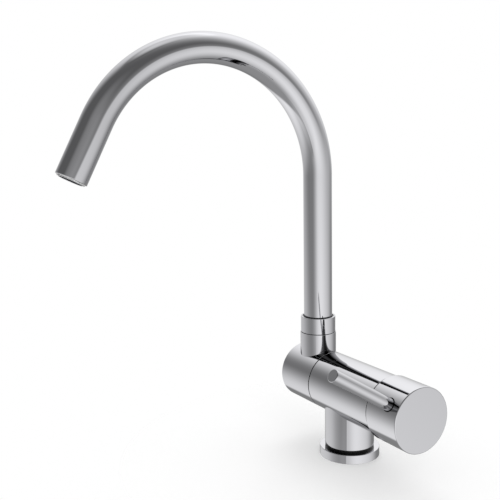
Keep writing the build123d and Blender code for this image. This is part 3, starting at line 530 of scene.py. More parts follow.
def shaped(name, base, joined=(), cut=(), finish="polished_chrome", bore_finish=None):
    """One object from a mesh, with other meshes joined to it and cut from it."""
    piece = bpy.data.objects.new(name, base)
    bpy.context.scene.collection.objects.link(piece)
    base.materials.append(bpy.data.materials[finish])
    tools = []
    for operation, meshes, used in (("UNION", joined, finish), ("DIFFERENCE", cut, bore_finish or finish)):
        for mesh in meshes:
            if not mesh.materials:
                mesh.materials.append(bpy.data.materials[used])
            tool = bpy.data.objects.new("tool", mesh)
            bpy.context.scene.collection.objects.link(tool)
            step = piece.modifiers.new("shape", "BOOLEAN")
            step.operation, step.object, step.solver = operation, tool, "EXACT"
            step.material_mode = "TRANSFER"
            tools.append(tool)
    if tools:
        made_plain(piece, name)
        for tool in tools:
            mesh = tool.data
            bpy.data.objects.remove(tool)
            bpy.data.meshes.remove(mesh)
    piece.data.name = name
    give_true_normals(piece.data)
    return piece


def fitted(piece, body, slot, *nodes):
    """Lets a piece ride on a body in place of its construction nodes."""
    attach(piece, body)
    if nodes:
        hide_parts(*nodes)
    return piece


def lathed(name, outline, place, steps, body, slot="chrome", finish="polished_chrome"):
    """A piece that is only turned, in place of the construction node of its name."""
    fitted(shaped(name, turned(outline, place, steps), finish=finish), body, slot, name)


# ---- pieces ----------------------------------------------------------------------------------
class TAP_OT_finishes(bpy.types.Operator):
    """Makes the finishes and gives them to the construction nodes that stay"""

    bl_idname = "tap.finishes"
    bl_label = "Finishes"

    def execute(self, context):
        colours = context.scene.tap_colours
        made = {
            "chrome": polished_chrome(colours),
            "brass": machined_brass(colours),
            "steel": stainless_steel(colours),
            # injection moulded acetal and nylon have a soft gloss
            "black_plastic": moulded("black_acetal", colours.black, (0.32, 0.45), 0.6),
            "white_plastic": moulded("white_acetal", colours.white, (0.3, 0.42), 0.6),
            "grey_plastic": moulded("grey_nylon", colours.grey, (0.38, 0.5), 0.5),
            # pressed and lapped alumina is smooth, moulded rubber dull, extruded hose glossy
            "ceramic": moulded("alumina_ceramic", colours.ceramic, (0.12, 0.2), 0.25),
            "rubber": moulded("seal_rubber", colours.rubber, (0.55, 0.7), 0.3),
            "hose": moulded("water_hose", colours.hose, (0.25, 0.35), 0.8),
        }
        for node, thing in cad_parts.items():
            for held in thing.material_slots:
                name = held.material.name.split(".")[0]
                if name not in made:
                    raise RuntimeError(f"no finish for {name} of {node}")
                held.material = made[name]
        return {"FINISHED"}


class TAP_OT_base_rings(bpy.types.Operator):
    """Turns the base ring on the worktop and the dark ring under the column"""

    bl_idname = "tap.base_rings"
    bl_label = "Base rings"

    def execute(self, context):
        s = sizes_in_mm(context)
        flange, seal, gap = high("base_flange"), high("deck_seal"), high("gap_ring")
        outline = [
            (s.spigot_radius, 0), (DECK_SEAL_BORE, 0), (DECK_SEAL_BORE, seal.z), (seal.x, seal.z),
            (seal.x, 0), (flange.x, 0, s.fine_edge), (flange.x, flange.z, s.edge),
            (s.spigot_radius, flange.z),
        ]
        lathed("base_flange", outline, COLUMN_PLACE, s.round_steps, "body")
        outline = ring(s.spigot_radius, gap.x, flange.z, gap.z)
        lathed("gap_ring", outline, COLUMN_PLACE, s.round_steps, "body", "black_plastic", "black_acetal")
        return {"FINISHED"}


class TAP_OT_body(bpy.types.Operator):
    """Casts the barrel and column in one, with the bores for cartridge, pivot and hoses"""

    bl_idname = "tap.body"
    bl_label = "Body"

    def execute(self, context):
        s = sizes_in_mm(context)
        left, right, foot = low("tap_body").x, high("tap_body").x, high("gap_ring").z
        fold_end, knob_end = left + FOLD_STEP, right - KNOB_STEP
        barrel = [
            (0, left), (STEP_RADIUS, left), (STEP_RADIUS, fold_end), (BARREL_RADIUS, fold_end, s.seam_edge),
            (BARREL_RADIUS, knob_end, s.seam_edge), (STEP_RADIUS, knob_end), (STEP_RADIUS, right), (0, right),
        ]
        column = turned(rod(s.column_radius, foot, AXIS_Z, s.edge), COLUMN_PLACE, s.round_steps)
        spigot = turned(rod(s.spigot_radius, 0, foot + OVER, s.fine_edge), COLUMN_PLACE, s.round_steps)
        spigot.materials.append(bpy.data.materials["machined_brass"])
        floor, chamber = low("cartridge_base").x, high("cartridge_housing").y
        step, nut = low("cartridge_nut").x, high("cartridge_nut").y
        chamber_bore = [
            (0, floor), (chamber, floor), (chamber, step), (nut, step), (nut, right + OVER),
            (0, right + OVER),
        ]
        seat = high("pivot_spindle").y
        spindle_bore = [
            (0, left - OVER), (seat, left - OVER), (seat, SEAT_END), (NOSE_RADIUS, SEAT_END),
            (NOSE_RADIUS, NOSE_END), (0, NOSE_END),
        ]
        cut = [
            turned(chamber_bore, BARREL_PLACE, s.round_steps, cutter=True),
            turned(spindle_bore, BARREL_PLACE, BORE_STEPS, cutter=True),
        ]
        for _, x, y, top in HOSES:
            inlet = [
                (0, -OVER), (THREAD_ROOT, -OVER), (THREAD_ROOT, THREAD_DEPTH), (VALVE_RADIUS, THREAD_DEPTH),
                (VALVE_RADIUS, VALVE_TOP), (INLET_RADIUS, VALVE_TOP), (INLET_RADIUS, top), (0, top),
            ]
            cut.append(turned(inlet, at(x, y, 0), INLET_STEPS, cutter=True))
            cut.append(drilled((floor + OVER, y, top), (x, y, top), PORT_RADIUS))
        for start, end, radius in PASSAGES:
            cut.append(drilled(start, end, radius))
        base = turned(barrel, BARREL_PLACE, s.round_steps)
        piece = shaped("tap_body", base, [column, spigot], cut, bore_finish="machined_brass")
        fitted(piece, "body", "chrome", "tap_body")
        return {"FINISHED"}


class TAP_OT_seam_rings(bpy.types.Operator):
    """Turns the two thin dark rings between the barrel's segments"""

    bl_idname = "tap.seam_rings"
    bl_label = "Seam rings"

    def execute(self, context):
        s = sizes_in_mm(context)
        step = STEP_RADIUS + SEAM_PLAY
        start, end, radius = low("knob_seam_ring").x, high("knob_seam_ring").x, high("knob_seam_ring").y
        lap, face = start - KNOB_STEP + SEAM_PLAY, end - SEAM_PLAY
        knob_ring = [
            (KNOB_SEAM_BORE, start), (step, start), (step, lap), (radius, lap, RING_EDGE),
            (radius, face, RING_EDGE), (KNOB_SEAM_BORE, face),
        ]
        start, end, radius = low("fold_washer").x, high("fold_washer").x, high("fold_washer").y
        lap, face = end + FOLD_STEP - SEAM_PLAY, start + SEAM_PLAY
        washer = [
            (FOLD_WASHER_BORE, face), (radius, face, RING_EDGE), (radius, lap, RING_EDGE),
            (step, lap), (step, end), (FOLD_WASHER_BORE, end),
        ]
        for node, outline in (("knob_seam_ring", knob_ring), ("fold_washer", washer)):
            lathed(node, outline, BARREL_PLACE, s.round_steps, "body", "black_plastic", "black_acetal")
        return {"FINISHED"}


class TAP_OT_knob(bpy.types.Operator):
    """Turns the lever knob with its hub, boss and lever pocket"""

    bl_idname = "tap.knob"
    bl_label = "Knob"

    def execute(self, context):
        s = sizes_in_mm(context)
        left, right, radius = low("knob_shell").x, high("knob_shell").x, high("knob_shell").y
        bore, end = radius - s.knob_wall, right - KNOB_END_WALL
        hub = end - HUB_LENGTH
        outline = [
            (bore, left), (radius, left, s.knob_edge), (radius, right, s.knob_edge), (0, right), (0, hub),
            (HUB_RADIUS, hub), (HUB_RADIUS, end), (bore, end),
        ]
        place = lever_place(s)
        seat, pocket = radius - LEVER_SOCKET, LEVER_RADIUS + LEVER_RING_WIDTH
        boss = turned(rod(BOSS_RADIUS, BOSS_START, bore + OVER), place, BORE_STEPS)
        square_place = BARREL_PLACE @ Matrix.Rotation(math.radians(45), 4, "Z")
        square_hole = rod(SQUARE_HOLE / math.sqrt(2), hub - OVER, SQUARE_END)
        square = turned(square_hole, square_place, 4, cutter=True)
        flat = np.zeros(len(square.loops) * 3, np.float32)
        square.attributes[NORMAL].data.foreach_set("vector", flat)
        cut = [
            square,
            turned(rod(LEVER_SCREW_RADIUS, 0, seat + OVER), place, DRILL_STEPS, cutter=True),
            turned(rod(pocket, seat, radius + 2 * OVER), place, BORE_STEPS, cutter=True),
        ]
        piece = shaped("knob_shell", turned(outline, BARREL_PLACE, s.round_steps), [boss], cut)
        fitted(piece, "handle", "chrome", "knob_shell")
        return {"FINISHED"}


class TAP_OT_lever(bpy.types.Operator):
    """Turns the lever rod and the dark ring at its root"""

    bl_idname = "tap.lever"
    bl_label = "Lever"

    def execute(self, context):
        s = sizes_in_mm(context)
        place = lever_place(s)
        seat = high("knob_shell").y - LEVER_SOCKET
        tail = seat - LEVER_TAIL
        outline = [
            (0, tail), (LEVER_SCREW_RADIUS, tail, CAP_EDGE), (LEVER_SCREW_RADIUS, seat), (LEVER_RADIUS, seat),
            (LEVER_RADIUS, LEVER_REACH, s.lever_edge), (0, LEVER_REACH),
        ]
        lathed("lever_pin", outline, place, ROD_STEPS, "handle")
        outline = ring(LEVER_RADIUS, LEVER_RADIUS + LEVER_RING_WIDTH, seat, LEVER_RING_TOP, last=SOFT_EDGE)
        lathed("lever_ring", outline, place, ROD_STEPS, "handle", "black_plastic", "black_acetal")
        return {"FINISHED"}


class TAP_OT_holder(bpy.types.Operator):
    """Turns the spout's holder with its lower collar, and the cap in its end"""

    bl_idname = "tap.holder"
    bl_label = "Spout holder"

    def execute(self, context):
        s = sizes_in_mm(context)
        left, right, top = low("spout_holder").x, high("spout_holder").x, high("spout_holder").z - AXIS_Z
        cap, cap_face = high("holder_end_cap").y, high("holder_end_cap").x
        base = turned(rod(BARREL_RADIUS, left, right, s.edge, s.seam_edge), BARREL_PLACE, s.round_steps)
        collar = turned(rod(s.lower_collar_radius, 0, top, last=SOFT_EDGE), SPOUT_PLACE, s.round_steps)
        bush = right - RIGHT_BUSH_LENGTH
        pivot_bore = [
            (0, left - OVER), (cap, left - OVER), (cap, cap_face), (NUT_ROOM_RADIUS, cap_face),
            (NUT_ROOM_RADIUS, NUT_ROOM_END), (BUSH_RADIUS, NUT_ROOM_END), (BUSH_RADIUS, LEFT_BUSH_END),
            (SPINDLE_BORE, LEFT_BUSH_END), (SPINDLE_BORE, bush), (BUSH_RADIUS, bush),
            (BUSH_RADIUS, right + OVER), (0, right + OVER),
        ]
        swivel_bore = [
            (0, SWIVEL_FLOOR), (SWIVEL_BORE, SWIVEL_FLOOR), (SWIVEL_BORE, SHOULDER_SEAT),
            (SKIRT_RADIUS, SHOULDER_SEAT), (SKIRT_RADIUS, top + OVER), (0, top + OVER),
        ]
        slot_floor = right - SLOT_DEPTH
        slot = ring(SLOT_CIRCLE - SLOT_HALF, SLOT_CIRCLE + SLOT_HALF, slot_floor, right + OVER)
        cut = [
            turned(pivot_bore, BARREL_PLACE, s.round_steps, cutter=True),
            turned(swivel_bore, SPOUT_PLACE, ROD_STEPS, cutter=True),
            turned(slot, BARREL_PLACE, SLOT_STEPS, sweep=(270, 90), cutter=True),
        ]
        for y, z in ((-SLOT_CIRCLE, AXIS_Z), (0, AXIS_Z - SLOT_CIRCLE)):  # the slot's round ends
            cut.append(drilled((slot_floor, y, z), (right + OVER, y, z), SLOT_HALF))
        piece = shaped("spout_holder", base, [collar], cut, bore_finish="machined_brass")
        fitted(piece, "holder", "chrome", "spout_holder")
        outline = rod(cap, left, cap_face, CAP_EDGE)
        lathed("holder_end_cap", outline, BARREL_PLACE, s.round_steps, "holder")
        return {"FINISHED"}


class TAP_OT_collar(bpy.types.Operator):
    """Turns the upper collar and the dark guide bush round the tube"""

    bl_idname = "tap.collar"
    bl_label = "Upper collar"

    def execute(self, context):
        s = sizes_in_mm(context)
        skirt, bottom, top = (z - AXIS_Z for z in (low("collar_nut").z, COLLAR_BOTTOM, high("collar_nut").z))
        ledge = bottom + LEDGE_HEIGHT
        radius, bush = high("collar_nut").y, high("collar_bush").y
        outline = [
            (SKIRT_BORE, skirt), (SKIRT_RADIUS, skirt), (SKIRT_RADIUS, bottom), (radius, bottom, SOFT_EDGE),
            (radius, top, s.edge), (bush, top, s.fine_edge), (bush, ledge), (SKIRT_BORE, ledge),
        ]
        lathed("collar_nut", outline, SPOUT_PLACE, s.round_steps, "holder")
        foot, head = low("collar_bush").z - AXIS_Z, high("collar_bush").z - AXIS_Z
        outline = ring(TUBE_RADIUS + TUBE_PLAY, bush, foot, head, inner=s.fine_edge)
        lathed("collar_bush", outline, SPOUT_PLACE, s.round_steps, "holder", "black_plastic", "black_acetal")
        return {"FINISHED"}


# ---- pieces grown by geometry nodes ----------------------------------------------------------
def new_tree(name, inputs):
    """A geometry nodes tree with these named inputs and a finish, and the inputs' sockets."""
    tree = bpy.data.node_groups.new(name, "GeometryNodeTree")
    for label, kind in {**inputs, "Finish": "Material"}.items():
        tree.interface.new_socket(label, in_out="INPUT", socket_type=f"NodeSocket{kind}")
    tree.interface.new_socket("Geometry", in_out="OUTPUT", socket_type="NodeSocketGeometry")
    return tree, add(tree, "NodeGroupInput").outputs


def end_tree(tree, shape, finish):
    """Makes a tree's shape real, gives it its finish and sends it out."""
    real = add(tree, "GeometryNodeRealizeInstances", {"Geometry": shape})
    finished = add(tree, "GeometryNodeSetMaterial", {"Geometry": real, "Material": finish})
    add(tree, "NodeGroupOutput", {"Geometry": finished})
    return tree


def grown(name, tree, finish, inputs):
    """A plain mesh object from a geometry nodes tree, evaluated once with these inputs."""
    piece = bpy.data.objects.new(name, bpy.data.meshes.new(name))
    bpy.context.scene.collection.objects.link(piece)
    step = piece.modifiers.new(name, "NODES")
    step.node_group = tree
    sockets = {item.name: item.identifier for item in tree.interface.items_tree if item.in_out == "INPUT"}
    for key, value in {**inputs, "Finish": bpy.data.materials[finish]}.items():
        step[sockets[key]] = value
    if not made_plain(piece, name).polygons:
        raise RuntimeError(f"{name} has no faces")
    face_outwards(piece.data)
    return piece


def face_outwards(mesh):
    """Merges doubles and turns all faces outwards."""
    shape = bmesh.new()
    shape.from_mesh(mesh)
    bmesh.ops.remove_doubles(shape, verts=shape.verts, dist=0.001 * MM)
    bmesh.ops.recalc_face_normals(shape, faces=shape.faces)
    shape.to_mesh(mesh)
    shape.free()


def bent_tube_tree():
    """Geometry nodes: a circle carried up a riser, round an arch and down a nozzle."""
    tree, given = new_tree("bent_tube", {
        "Place": "Vector", "Riser": "Float", "Arch radius": "Float", "Arch angle": "Float", "Nozzle": "Float",
        "Tube radius": "Float", "Rings": "Int", "Sides": "Int",
    })
    arch, angle = given["Arch radius"], given["Arch angle"]
    bend = add(tree, "ShaderNodeMath", {0: arch, 1: angle}, operation="MULTIPLY")
    after = add(tree, "ShaderNodeMath", {0: given["Riser"], 1: bend}, operation="ADD")
    total = add(tree, "ShaderNodeMath", {0: after, 1: given["Nozzle"]}, operation="ADD")
    # the tube's length, stretched upright, and how far each point has risen, turned and run on
    top = add(tree, "ShaderNodeCombineXYZ", {"Z": total})
    line = add(tree, "GeometryNodeCurvePrimitiveLine", {"End": top})
    line = add(tree, "GeometryNodeResampleCurve", {"Curve": line, "Count": given["Rings"]})
    run = add(tree, "ShaderNodeSeparateXYZ", {0: add(tree, "GeometryNodeInputPosition")}).outputs["Z"]
    rise = add(tree, "ShaderNodeMath", {0: run, 1: given["Riser"]}, operation="MINIMUM")
    turn = add(tree, "ShaderNodeMapRange", {
        "Value": run, "From Min": given["Riser"], "From Max": after, "To Max": angle,
    })
    fall = add(tree, "ShaderNodeMapRange", {
        "Value": run, "From Min": after, "From Max": total, "To Max": given["Nozzle"],
    })
    # the run after the arch, turned about the arch's centre, then raised
    centre = add(tree, "ShaderNodeVectorMath", {0: (0, -1, 0), "Scale": arch}, operation="SCALE")
    ahead = add(tree, "ShaderNodeCombineXYZ", {"Z": fall})
    bent = add(
        tree,
        "ShaderNodeVectorRotate",
        {"Vector": ahead, "Center": centre, "Angle": turn},
        rotation_type="X_AXIS",
    )
    lift = add(tree, "ShaderNodeCombineXYZ", {"Z": rise})
    lift = add(tree, "ShaderNodeVectorMath", {0: lift, 1: given["Place"]}, operation="ADD")
    path = add(tree, "GeometryNodeSetPosition", {"Geometry": line, "Position": bent, "Offset": lift})
    circle = add(tree, "GeometryNodeCurvePrimitiveCircle", {
        "Radius": given["Tube radius"], "Resolution": given["Sides"],
    })
    skin = add(tree, "GeometryNodeCurveToMesh", {"Curve": path, "Profile Curve": circle})
    return end_tree(tree, skin, given["Finish"])


class TAP_OT_spout(bpy.types.Operator):
    """Bends the spout tube from its riser, arch and nozzle"""

    bl_idname = "tap.spout"
    bl_label = "Spout tube"

    def execute(self, context):
        s = sizes_in_mm(context)
        foot = low("spout_tube").z
        piece = grown("spout_tube", bent_tube_tree(), "polished_chrome", {
            "Place": (SPOUT_X * MM, 0, foot * MM), "Riser": (s.riser_top - foot) * MM,
            "Arch radius": s.arch_radius * MM, "Arch angle": s.arch_angle, "Nozzle": s.nozzle_length * MM,
            "Tube radius": TUBE_RADIUS * MM, "Rings": TUBE_RINGS, "Sides": TUBE_SIDES,
        })
        wall = piece.modifiers.new("wall", "SOLIDIFY")
        wall.thickness, wall.offset, wall.use_even_offset = s.tube_wall * MM, -1, True
        lip = piece.modifiers.new("lip", "BEVEL")
        lip.width, lip.segments = s.lip_edge * MM, LIP_SEGMENTS
        lip.limit_method, lip.angle_limit = "ANGLE", math.radians(LIP_ANGLE)
        lip.harden_normals = True
        piece.data.shade_smooth()
        fitted(piece, "spout", "chrome", "spout_tube")
        return {"FINISHED"}


def woven_screen_tree():
    """Geometry nodes: a plain weave of round wires between two hoops of the same wire."""
    tree, given = new_tree("woven_screen", {
        "Pitch": "Float", "Wire radius": "Float", "Inner radius": "Float", "Outer radius": "Float",
        "Lines": "Int", "Steps": "Int", "Sides": "Int",
    })
    # parallel lines that run along X, each with Steps points in a pitch
    gaps = add(tree, "ShaderNodeMath", {0: given["Lines"], 1: 1.0}, operation="SUBTRACT")
    width = add(tree, "ShaderNodeMath", {0: gaps, 1: given["Pitch"]}, operation="MULTIPLY")
    points = add(tree, "ShaderNodeMath", {0: gaps, 1: given["Steps"], 2: 1.0}, operation="MULTIPLY_ADD")
    line = add(tree, "GeometryNodeMeshGrid", {"Size X": width, "Vertices X": points, "Vertices Y": 1})
    rows = add(tree, "GeometryNodeMeshGrid", {"Size Y": width, "Vertices X": 1, "Vertices Y": given["Lines"]})
    lines = add(tree, "GeometryNodeInstanceOnPoints", {"Points": rows, "Instance": line})
    lines = add(tree, "GeometryNodeRealizeInstances", {"Geometry": lines})
    # cut off outside the outer and inside the inner hoop
    spot = add(tree, "GeometryNodeInputPosition")
    away = add(tree, "ShaderNodeVectorMath", {0: spot}, operation="LENGTH").outputs["Value"]
    past = add(tree, "ShaderNodeMath", {0: away, 1: given["Outer radius"]}, operation="GREATER_THAN")
    short = add(tree, "ShaderNodeMath", {0: away, 1: given["Inner radius"]}, operation="LESS_THAN")
    outside = add(tree, "ShaderNodeMath", {0: past, 1: short}, operation="MAXIMUM")
    kept = {"Geometry": lines, "Selection": outside}
    lines = add(tree, "GeometryNodeDeleteGeometry", kept, domain="POINT", mode="ALL")
    # over and under by turns
    phase = add(tree, "ShaderNodeMath", {0: math.pi, 1: given["Pitch"]}, operation="DIVIDE")
    phase = add(tree, "ShaderNodeVectorMath", {0: spot, "Scale": phase}, operation="SCALE")
    wave = add(tree, "ShaderNodeVectorMath", {0: phase}, operation="COSINE")
    wave = add(tree, "ShaderNodeSeparateXYZ", {0: wave}).outputs
    lift = add(tree, "ShaderNodeMath", {0: wave["X"], 1: wave["Y"]}, operation="MULTIPLY")
    lift = add(tree, "ShaderNodeMath", {0: lift, 1: given["Wire radius"]}, operation="MULTIPLY")
    lift = add(tree, "ShaderNodeCombineXYZ", {"Z": lift})
    lines = add(tree, "GeometryNodeSetPosition", {"Geometry": lines, "Offset": lift})
    # round wires one way, the same turned over and across for the other way, and the hoops
    section = add(tree, "GeometryNodeCurvePrimitiveCircle", {
        "Radius": given["Wire radius"], "Resolution": given["Sides"],
    })
    wires = add(tree, "GeometryNodeMeshToCurve", {0: lines})
    warp = add(tree, "GeometryNodeCurveToMesh", {
        "Curve": wires, "Profile Curve": section, "Fill Caps": True,
    })
    weft = add(tree, "GeometryNodeTransform", {"Geometry": warp, "Rotation": (math.pi, 0, math.pi / 2)})
    parts = [warp, weft]
    for radius in (given["Inner radius"], given["Outer radius"]):
        hoop = add(tree, "GeometryNodeCurvePrimitiveCircle", {"Radius": radius, "Resolution": HOOP_STEPS})
        parts.append(add(tree, "GeometryNodeCurveToMesh", {"Curve": hoop, "Profile Curve": section}))
    screen = add(tree, "GeometryNodeJoinGeometry")
    for part in parts:
        tree.links.new(part.outputs[0], screen.inputs[0])
    return end_tree(tree, screen, given["Finish"])


class TAP_OT_aerator(bpy.types.Operator):
    """Turns the aerator's ring with its key notches and its bright rim, and weaves its screen"""

    bl_idname = "tap.aerator"
    bl_label = "Aerator"

    def execute(self, context):
        s = sizes_in_mm(context)
        place = nozzle_place(s)
        bore, radius, half = SCREEN_OUTER, TUBE_RADIUS - s.tube_wall, KEY_NOTCH_WIDTH / 2
        notch = (bore - OVER, -half, SHELL_END - KEY_NOTCH_DEPTH), (radius + OVER, half, SHELL_END + OVER)
        turns = [Matrix.Rotation(math.radians(turn), 4, "Z") for turn in KEY_NOTCH_TURNS]
        cut = [boxed(*notch, place @ turn) for turn in turns]
        outline = ring(bore, radius, SHELL_START, SHELL_END, last=SOFT_EDGE, inner=SOFT_EDGE)
        piece = shaped("aerator_shell", turned(outline, place, ROD_STEPS), cut=cut, finish="white_acetal")
        fitted(piece, "spout", "white_plastic", "aerator_shell")
        outline = ring(RIM_INNER, RIM_OUTER, RIM_START, RIM_END, last=RIM_EDGE, inner=RIM_EDGE)
        piece = shaped("aerator_rim", turned(outline, place, ROD_STEPS))
        fitted(piece, "spout", "chrome")
        wire = s.screen_wire / 2
        piece = grown("aerator_screen", woven_screen_tree(), "stainless_steel", {
            "Pitch": s.screen_pitch * MM, "Wire radius": wire * MM, "Lines": SCREEN_LINES,
            "Inner radius": (SCREEN_INNER + wire) * MM, "Outer radius": (SCREEN_OUTER - wire) * MM,
            "Steps": WIRE_STEPS, "Sides": WIRE_SIDES,
        })
        piece.data.transform(place @ at(0, 0, SCREEN_PLACE))
        piece.data.shade_smooth()
        fitted(piece, "spout", "steel", "aerator_screen")
        return {"FINISHED"}


def thread_tree():
    """Geometry nodes: a sharp ridge on a helix, as a tap cuts it in a bore."""
    tree, given = new_tree("thread_ridge", {
        "Place": "Vector", "Root radius": "Float", "Ridge height": "Float", "Pitch": "Float",
        "Turns": "Float", "Steps": "Int",
    })
    rise = add(tree, "ShaderNodeMath", {0: given["Pitch"], 1: given["Turns"]}, operation="MULTIPLY")
    helix = add(tree, "GeometryNodeCurveSpiral", {
        "Resolution": given["Steps"], "Rotations": given["Turns"], "Start Radius": given["Root radius"],
        "End Radius": given["Root radius"], "Height": rise,
    })
    helix = add(tree, "GeometryNodeSetCurveNormal", {"Curve": helix}, mode="Z_UP")
    flank = add(tree, "ShaderNodeMath", {0: given["Pitch"], 1: THREAD_FLANK}, operation="MULTIPLY")
    shape = add(tree, "ShaderNodeCombineXYZ", {"X": given["Ridge height"], "Y": flank, "Z": 1.0})
    diamond = add(tree, "GeometryNodeCurvePrimitiveCircle", {"Radius": 1.0, "Resolution": 4})
    diamond = add(tree, "GeometryNodeTransform", {"Geometry": diamond, "Scale": shape})
    ridge = add(tree, "GeometryNodeCurveToMesh", {
        "Curve": helix, "Profile Curve": diamond, "Fill Caps": True,
    })
    ridge = add(tree, "GeometryNodeTransform", {"Geometry": ridge, "Translation": given["Place"]})
    return end_tree(tree, ridge, given["Finish"])


class TAP_OT_threads(bpy.types.Operator):
    """Cuts the threads of the three hoses and of the stud"""

    bl_idname = "tap.threads"
    bl_label = "Threads"

    def execute(self, context):
        tree = thread_tree()
        bores = [(f"{water}_thread", x, y, *HOSE_THREAD) for water, x, y, _ in HOSES]
        bores.append(("stud_thread", STUD_X, 0, *STUD_THREAD))
        for name, x, y, root, crest, pitch, turns in bores:
            piece = grown(name, tree, "machined_brass", {
                "Place": (x * MM, y * MM, pitch / 2 * MM), "Root radius": root * MM, "Pitch": pitch * MM,
                "Ridge height": (root - crest) * MM, "Turns": turns, "Steps": THREAD_STEPS,
            })
            fitted(piece, "body", "brass")
        return {"FINISHED"}


# ---- studio, in metres -----------------------------------------------------------------------
CAMERA_PLACE = (0.50798, -0.38748, 0.27476)
CAMERA_VIEW, CAMERA_ROLL = (59.821, 9.243), -1.037  # azimuth and elevation that it stands at
CAMERA_LENS, CAMERA_SENSOR, CAMERA_CLIP = 58.02, 36.0, (0.01, 20)  # the first two in millimetres

# Soft panels round the tap, as its polished chrome shows them. Each is brightest at its middle and
# gone beyond "out" degrees from it. An edge darkens all that lies below a plane: its pole, and the
# angles above the plane at which the panel starts and is fully lit.
PANELS = (
    # middle (azimuth, elevation), out, strength, edges (azimuth, elevation, starts, lit)
    ((-160, 35), 84, 0.75, ((0, 90, -24, 29), (-115, 10, -45, 2), (0, -90, -80, -62))),  # large, behind, left
    ((-124, 40), 70, 0.76, ((-49, 39, -27, -26), (0, -90, -80, -62))),  # its bright middle
    ((32, 46), 139, 0.85, ((0, -90, -7, 0), (139, 1, -38, 11), (0, 90, -21, -13))),  # low white wall, right
    ((32, 46), 139, 0.65, ((0, -90, 13, 21), (130, 0, -1, 1))),  # foot of that wall, with a sharp end
    ((110, -9), 72, 0.70, ((0, -90, -16, 33),)),  # lamp on that wall
    ((-106, -64), 88, 0.93, ((-27, 36, -7, 0),)),  # white table in front, on the left
    ((52, 9), 45, 0.22, ((0, 90, -2, 2),)),  # open side beside the camera
    ((0, -90), 180, 0.29, ((0, -90, -28, -13),)),  # grey table underneath
    ((-152, 83), 26, 0.89, ()),  # lamp in the ceiling
    ((31, -40), 25, 0.16, ()),  # its light on the table, in front on the right
    ((-36, -40), 27, 0.08, ()),  # and in front on the left
)
ROOM_LEVEL = 0.16  # dark room between the panels
SECOND_REFLECTION_PAINTED_SHADE = 0.2  # painted shade: how much the panels are darkened for rays past the first reflection, so that chrome seen in chrome shows darker, as in the photograph
FIRST_DEPTH = 1.5  # ray depth past which a reflection is a reflection's
ROOM_RADIUS = 20.0
AMBIENT = 0.88  # what the white surroundings give to matt surfaces
LAMPS = (("lamp_left", -125, 50, 6.0), ("lamp_right", 75, 35, 4.0))  # name, azimuth, elevation, watts
LAMP_SIZE, LAMP_DISTANCE, LAMP_AIM = 0.9, 1.5, 0.1  # width, and distance from a point at this height
FLOOR_RADIUS, FLOOR_SIDES, FLOOR_DROP = 0.5, 96, 0.0002
FLOOR_FADE = (0.06, 0.28)  # from the tap's axis, where the floor starts to fade and has gone
FLOOR_GLOW = 0.4  # share of the floor's picture that is plain white, so that its shadow stays soft
DUST = 30  # spacing of the floor's duller patches, in millimetres


def towards(azimuth, elevation):
    """Direction at an azimuth from the front, towards +X, and an elevation, in degrees."""
    a, e = math.radians(azimuth), math.radians(elevation)
    return Vector((math.sin(a) * math.cos(e), -math.cos(a) * math.cos(e), math.sin(e)))


def camera_in_place():
    """The camera at the photographed place, turned to its view with a small roll."""
    lens = bpy.data.cameras.new("camera")
    lens.lens, lens.sensor_width = CAMERA_LENS, CAMERA_SENSOR
    lens.clip_start, lens.clip_end = CAMERA_CLIP
    camera = bpy.data.objects.new("camera", lens)
    turn = facing(towards(*CAMERA_VIEW)) @ Matrix.Rotation(math.radians(CAMERA_ROLL), 4, "Z")
    camera.matrix_world = Matrix.Translation(CAMERA_PLACE) @ turn
    return camera


def white_room():
    """White surroundings, softer where they only light the object."""
    world = bpy.data.worlds.new("white_room")
    world.use_nodes = True
    tree = world.node_tree
    tree.nodes.clear()
    seen = add(tree, "ShaderNodeLightPath").outputs
    rays = {0: seen["Is Camera Ray"], 1: seen["Is Glossy Ray"]}
    shown = add(tree, "ShaderNodeMath", rays, operation="MAXIMUM")
    shown = add(tree, "ShaderNodeMath", {0: shown, 1: seen["Is Transmission Ray"]}, operation="MAXIMUM")
    level = add(tree, "ShaderNodeMapRange", {"Value": shown, "To Min": AMBIENT, "To Max": 1.0})
    light = add(tree, "ShaderNodeBackground", {"Color": colour4([1.0] * 3), "Strength": level})
    add(tree, "ShaderNodeOutputWorld", {"Surface": light})
    return world


def soft_lamp(name, azimuth, elevation, power):
    """A large soft lamp, which chrome sees as the panels instead."""
    lamp = bpy.data.lights.new(name, "AREA")
    lamp.shape, lamp.size, lamp.energy = "DISK", LAMP_SIZE, power
    thing = bpy.data.objects.new(name, lamp)
    away = towards(azimuth, elevation)
    thing.matrix_world = Matrix.Translation(away * LAMP_DISTANCE + Vector((0, 0, LAMP_AIM))) @ facing(away)
    thing.visible_glossy = False
    return thing


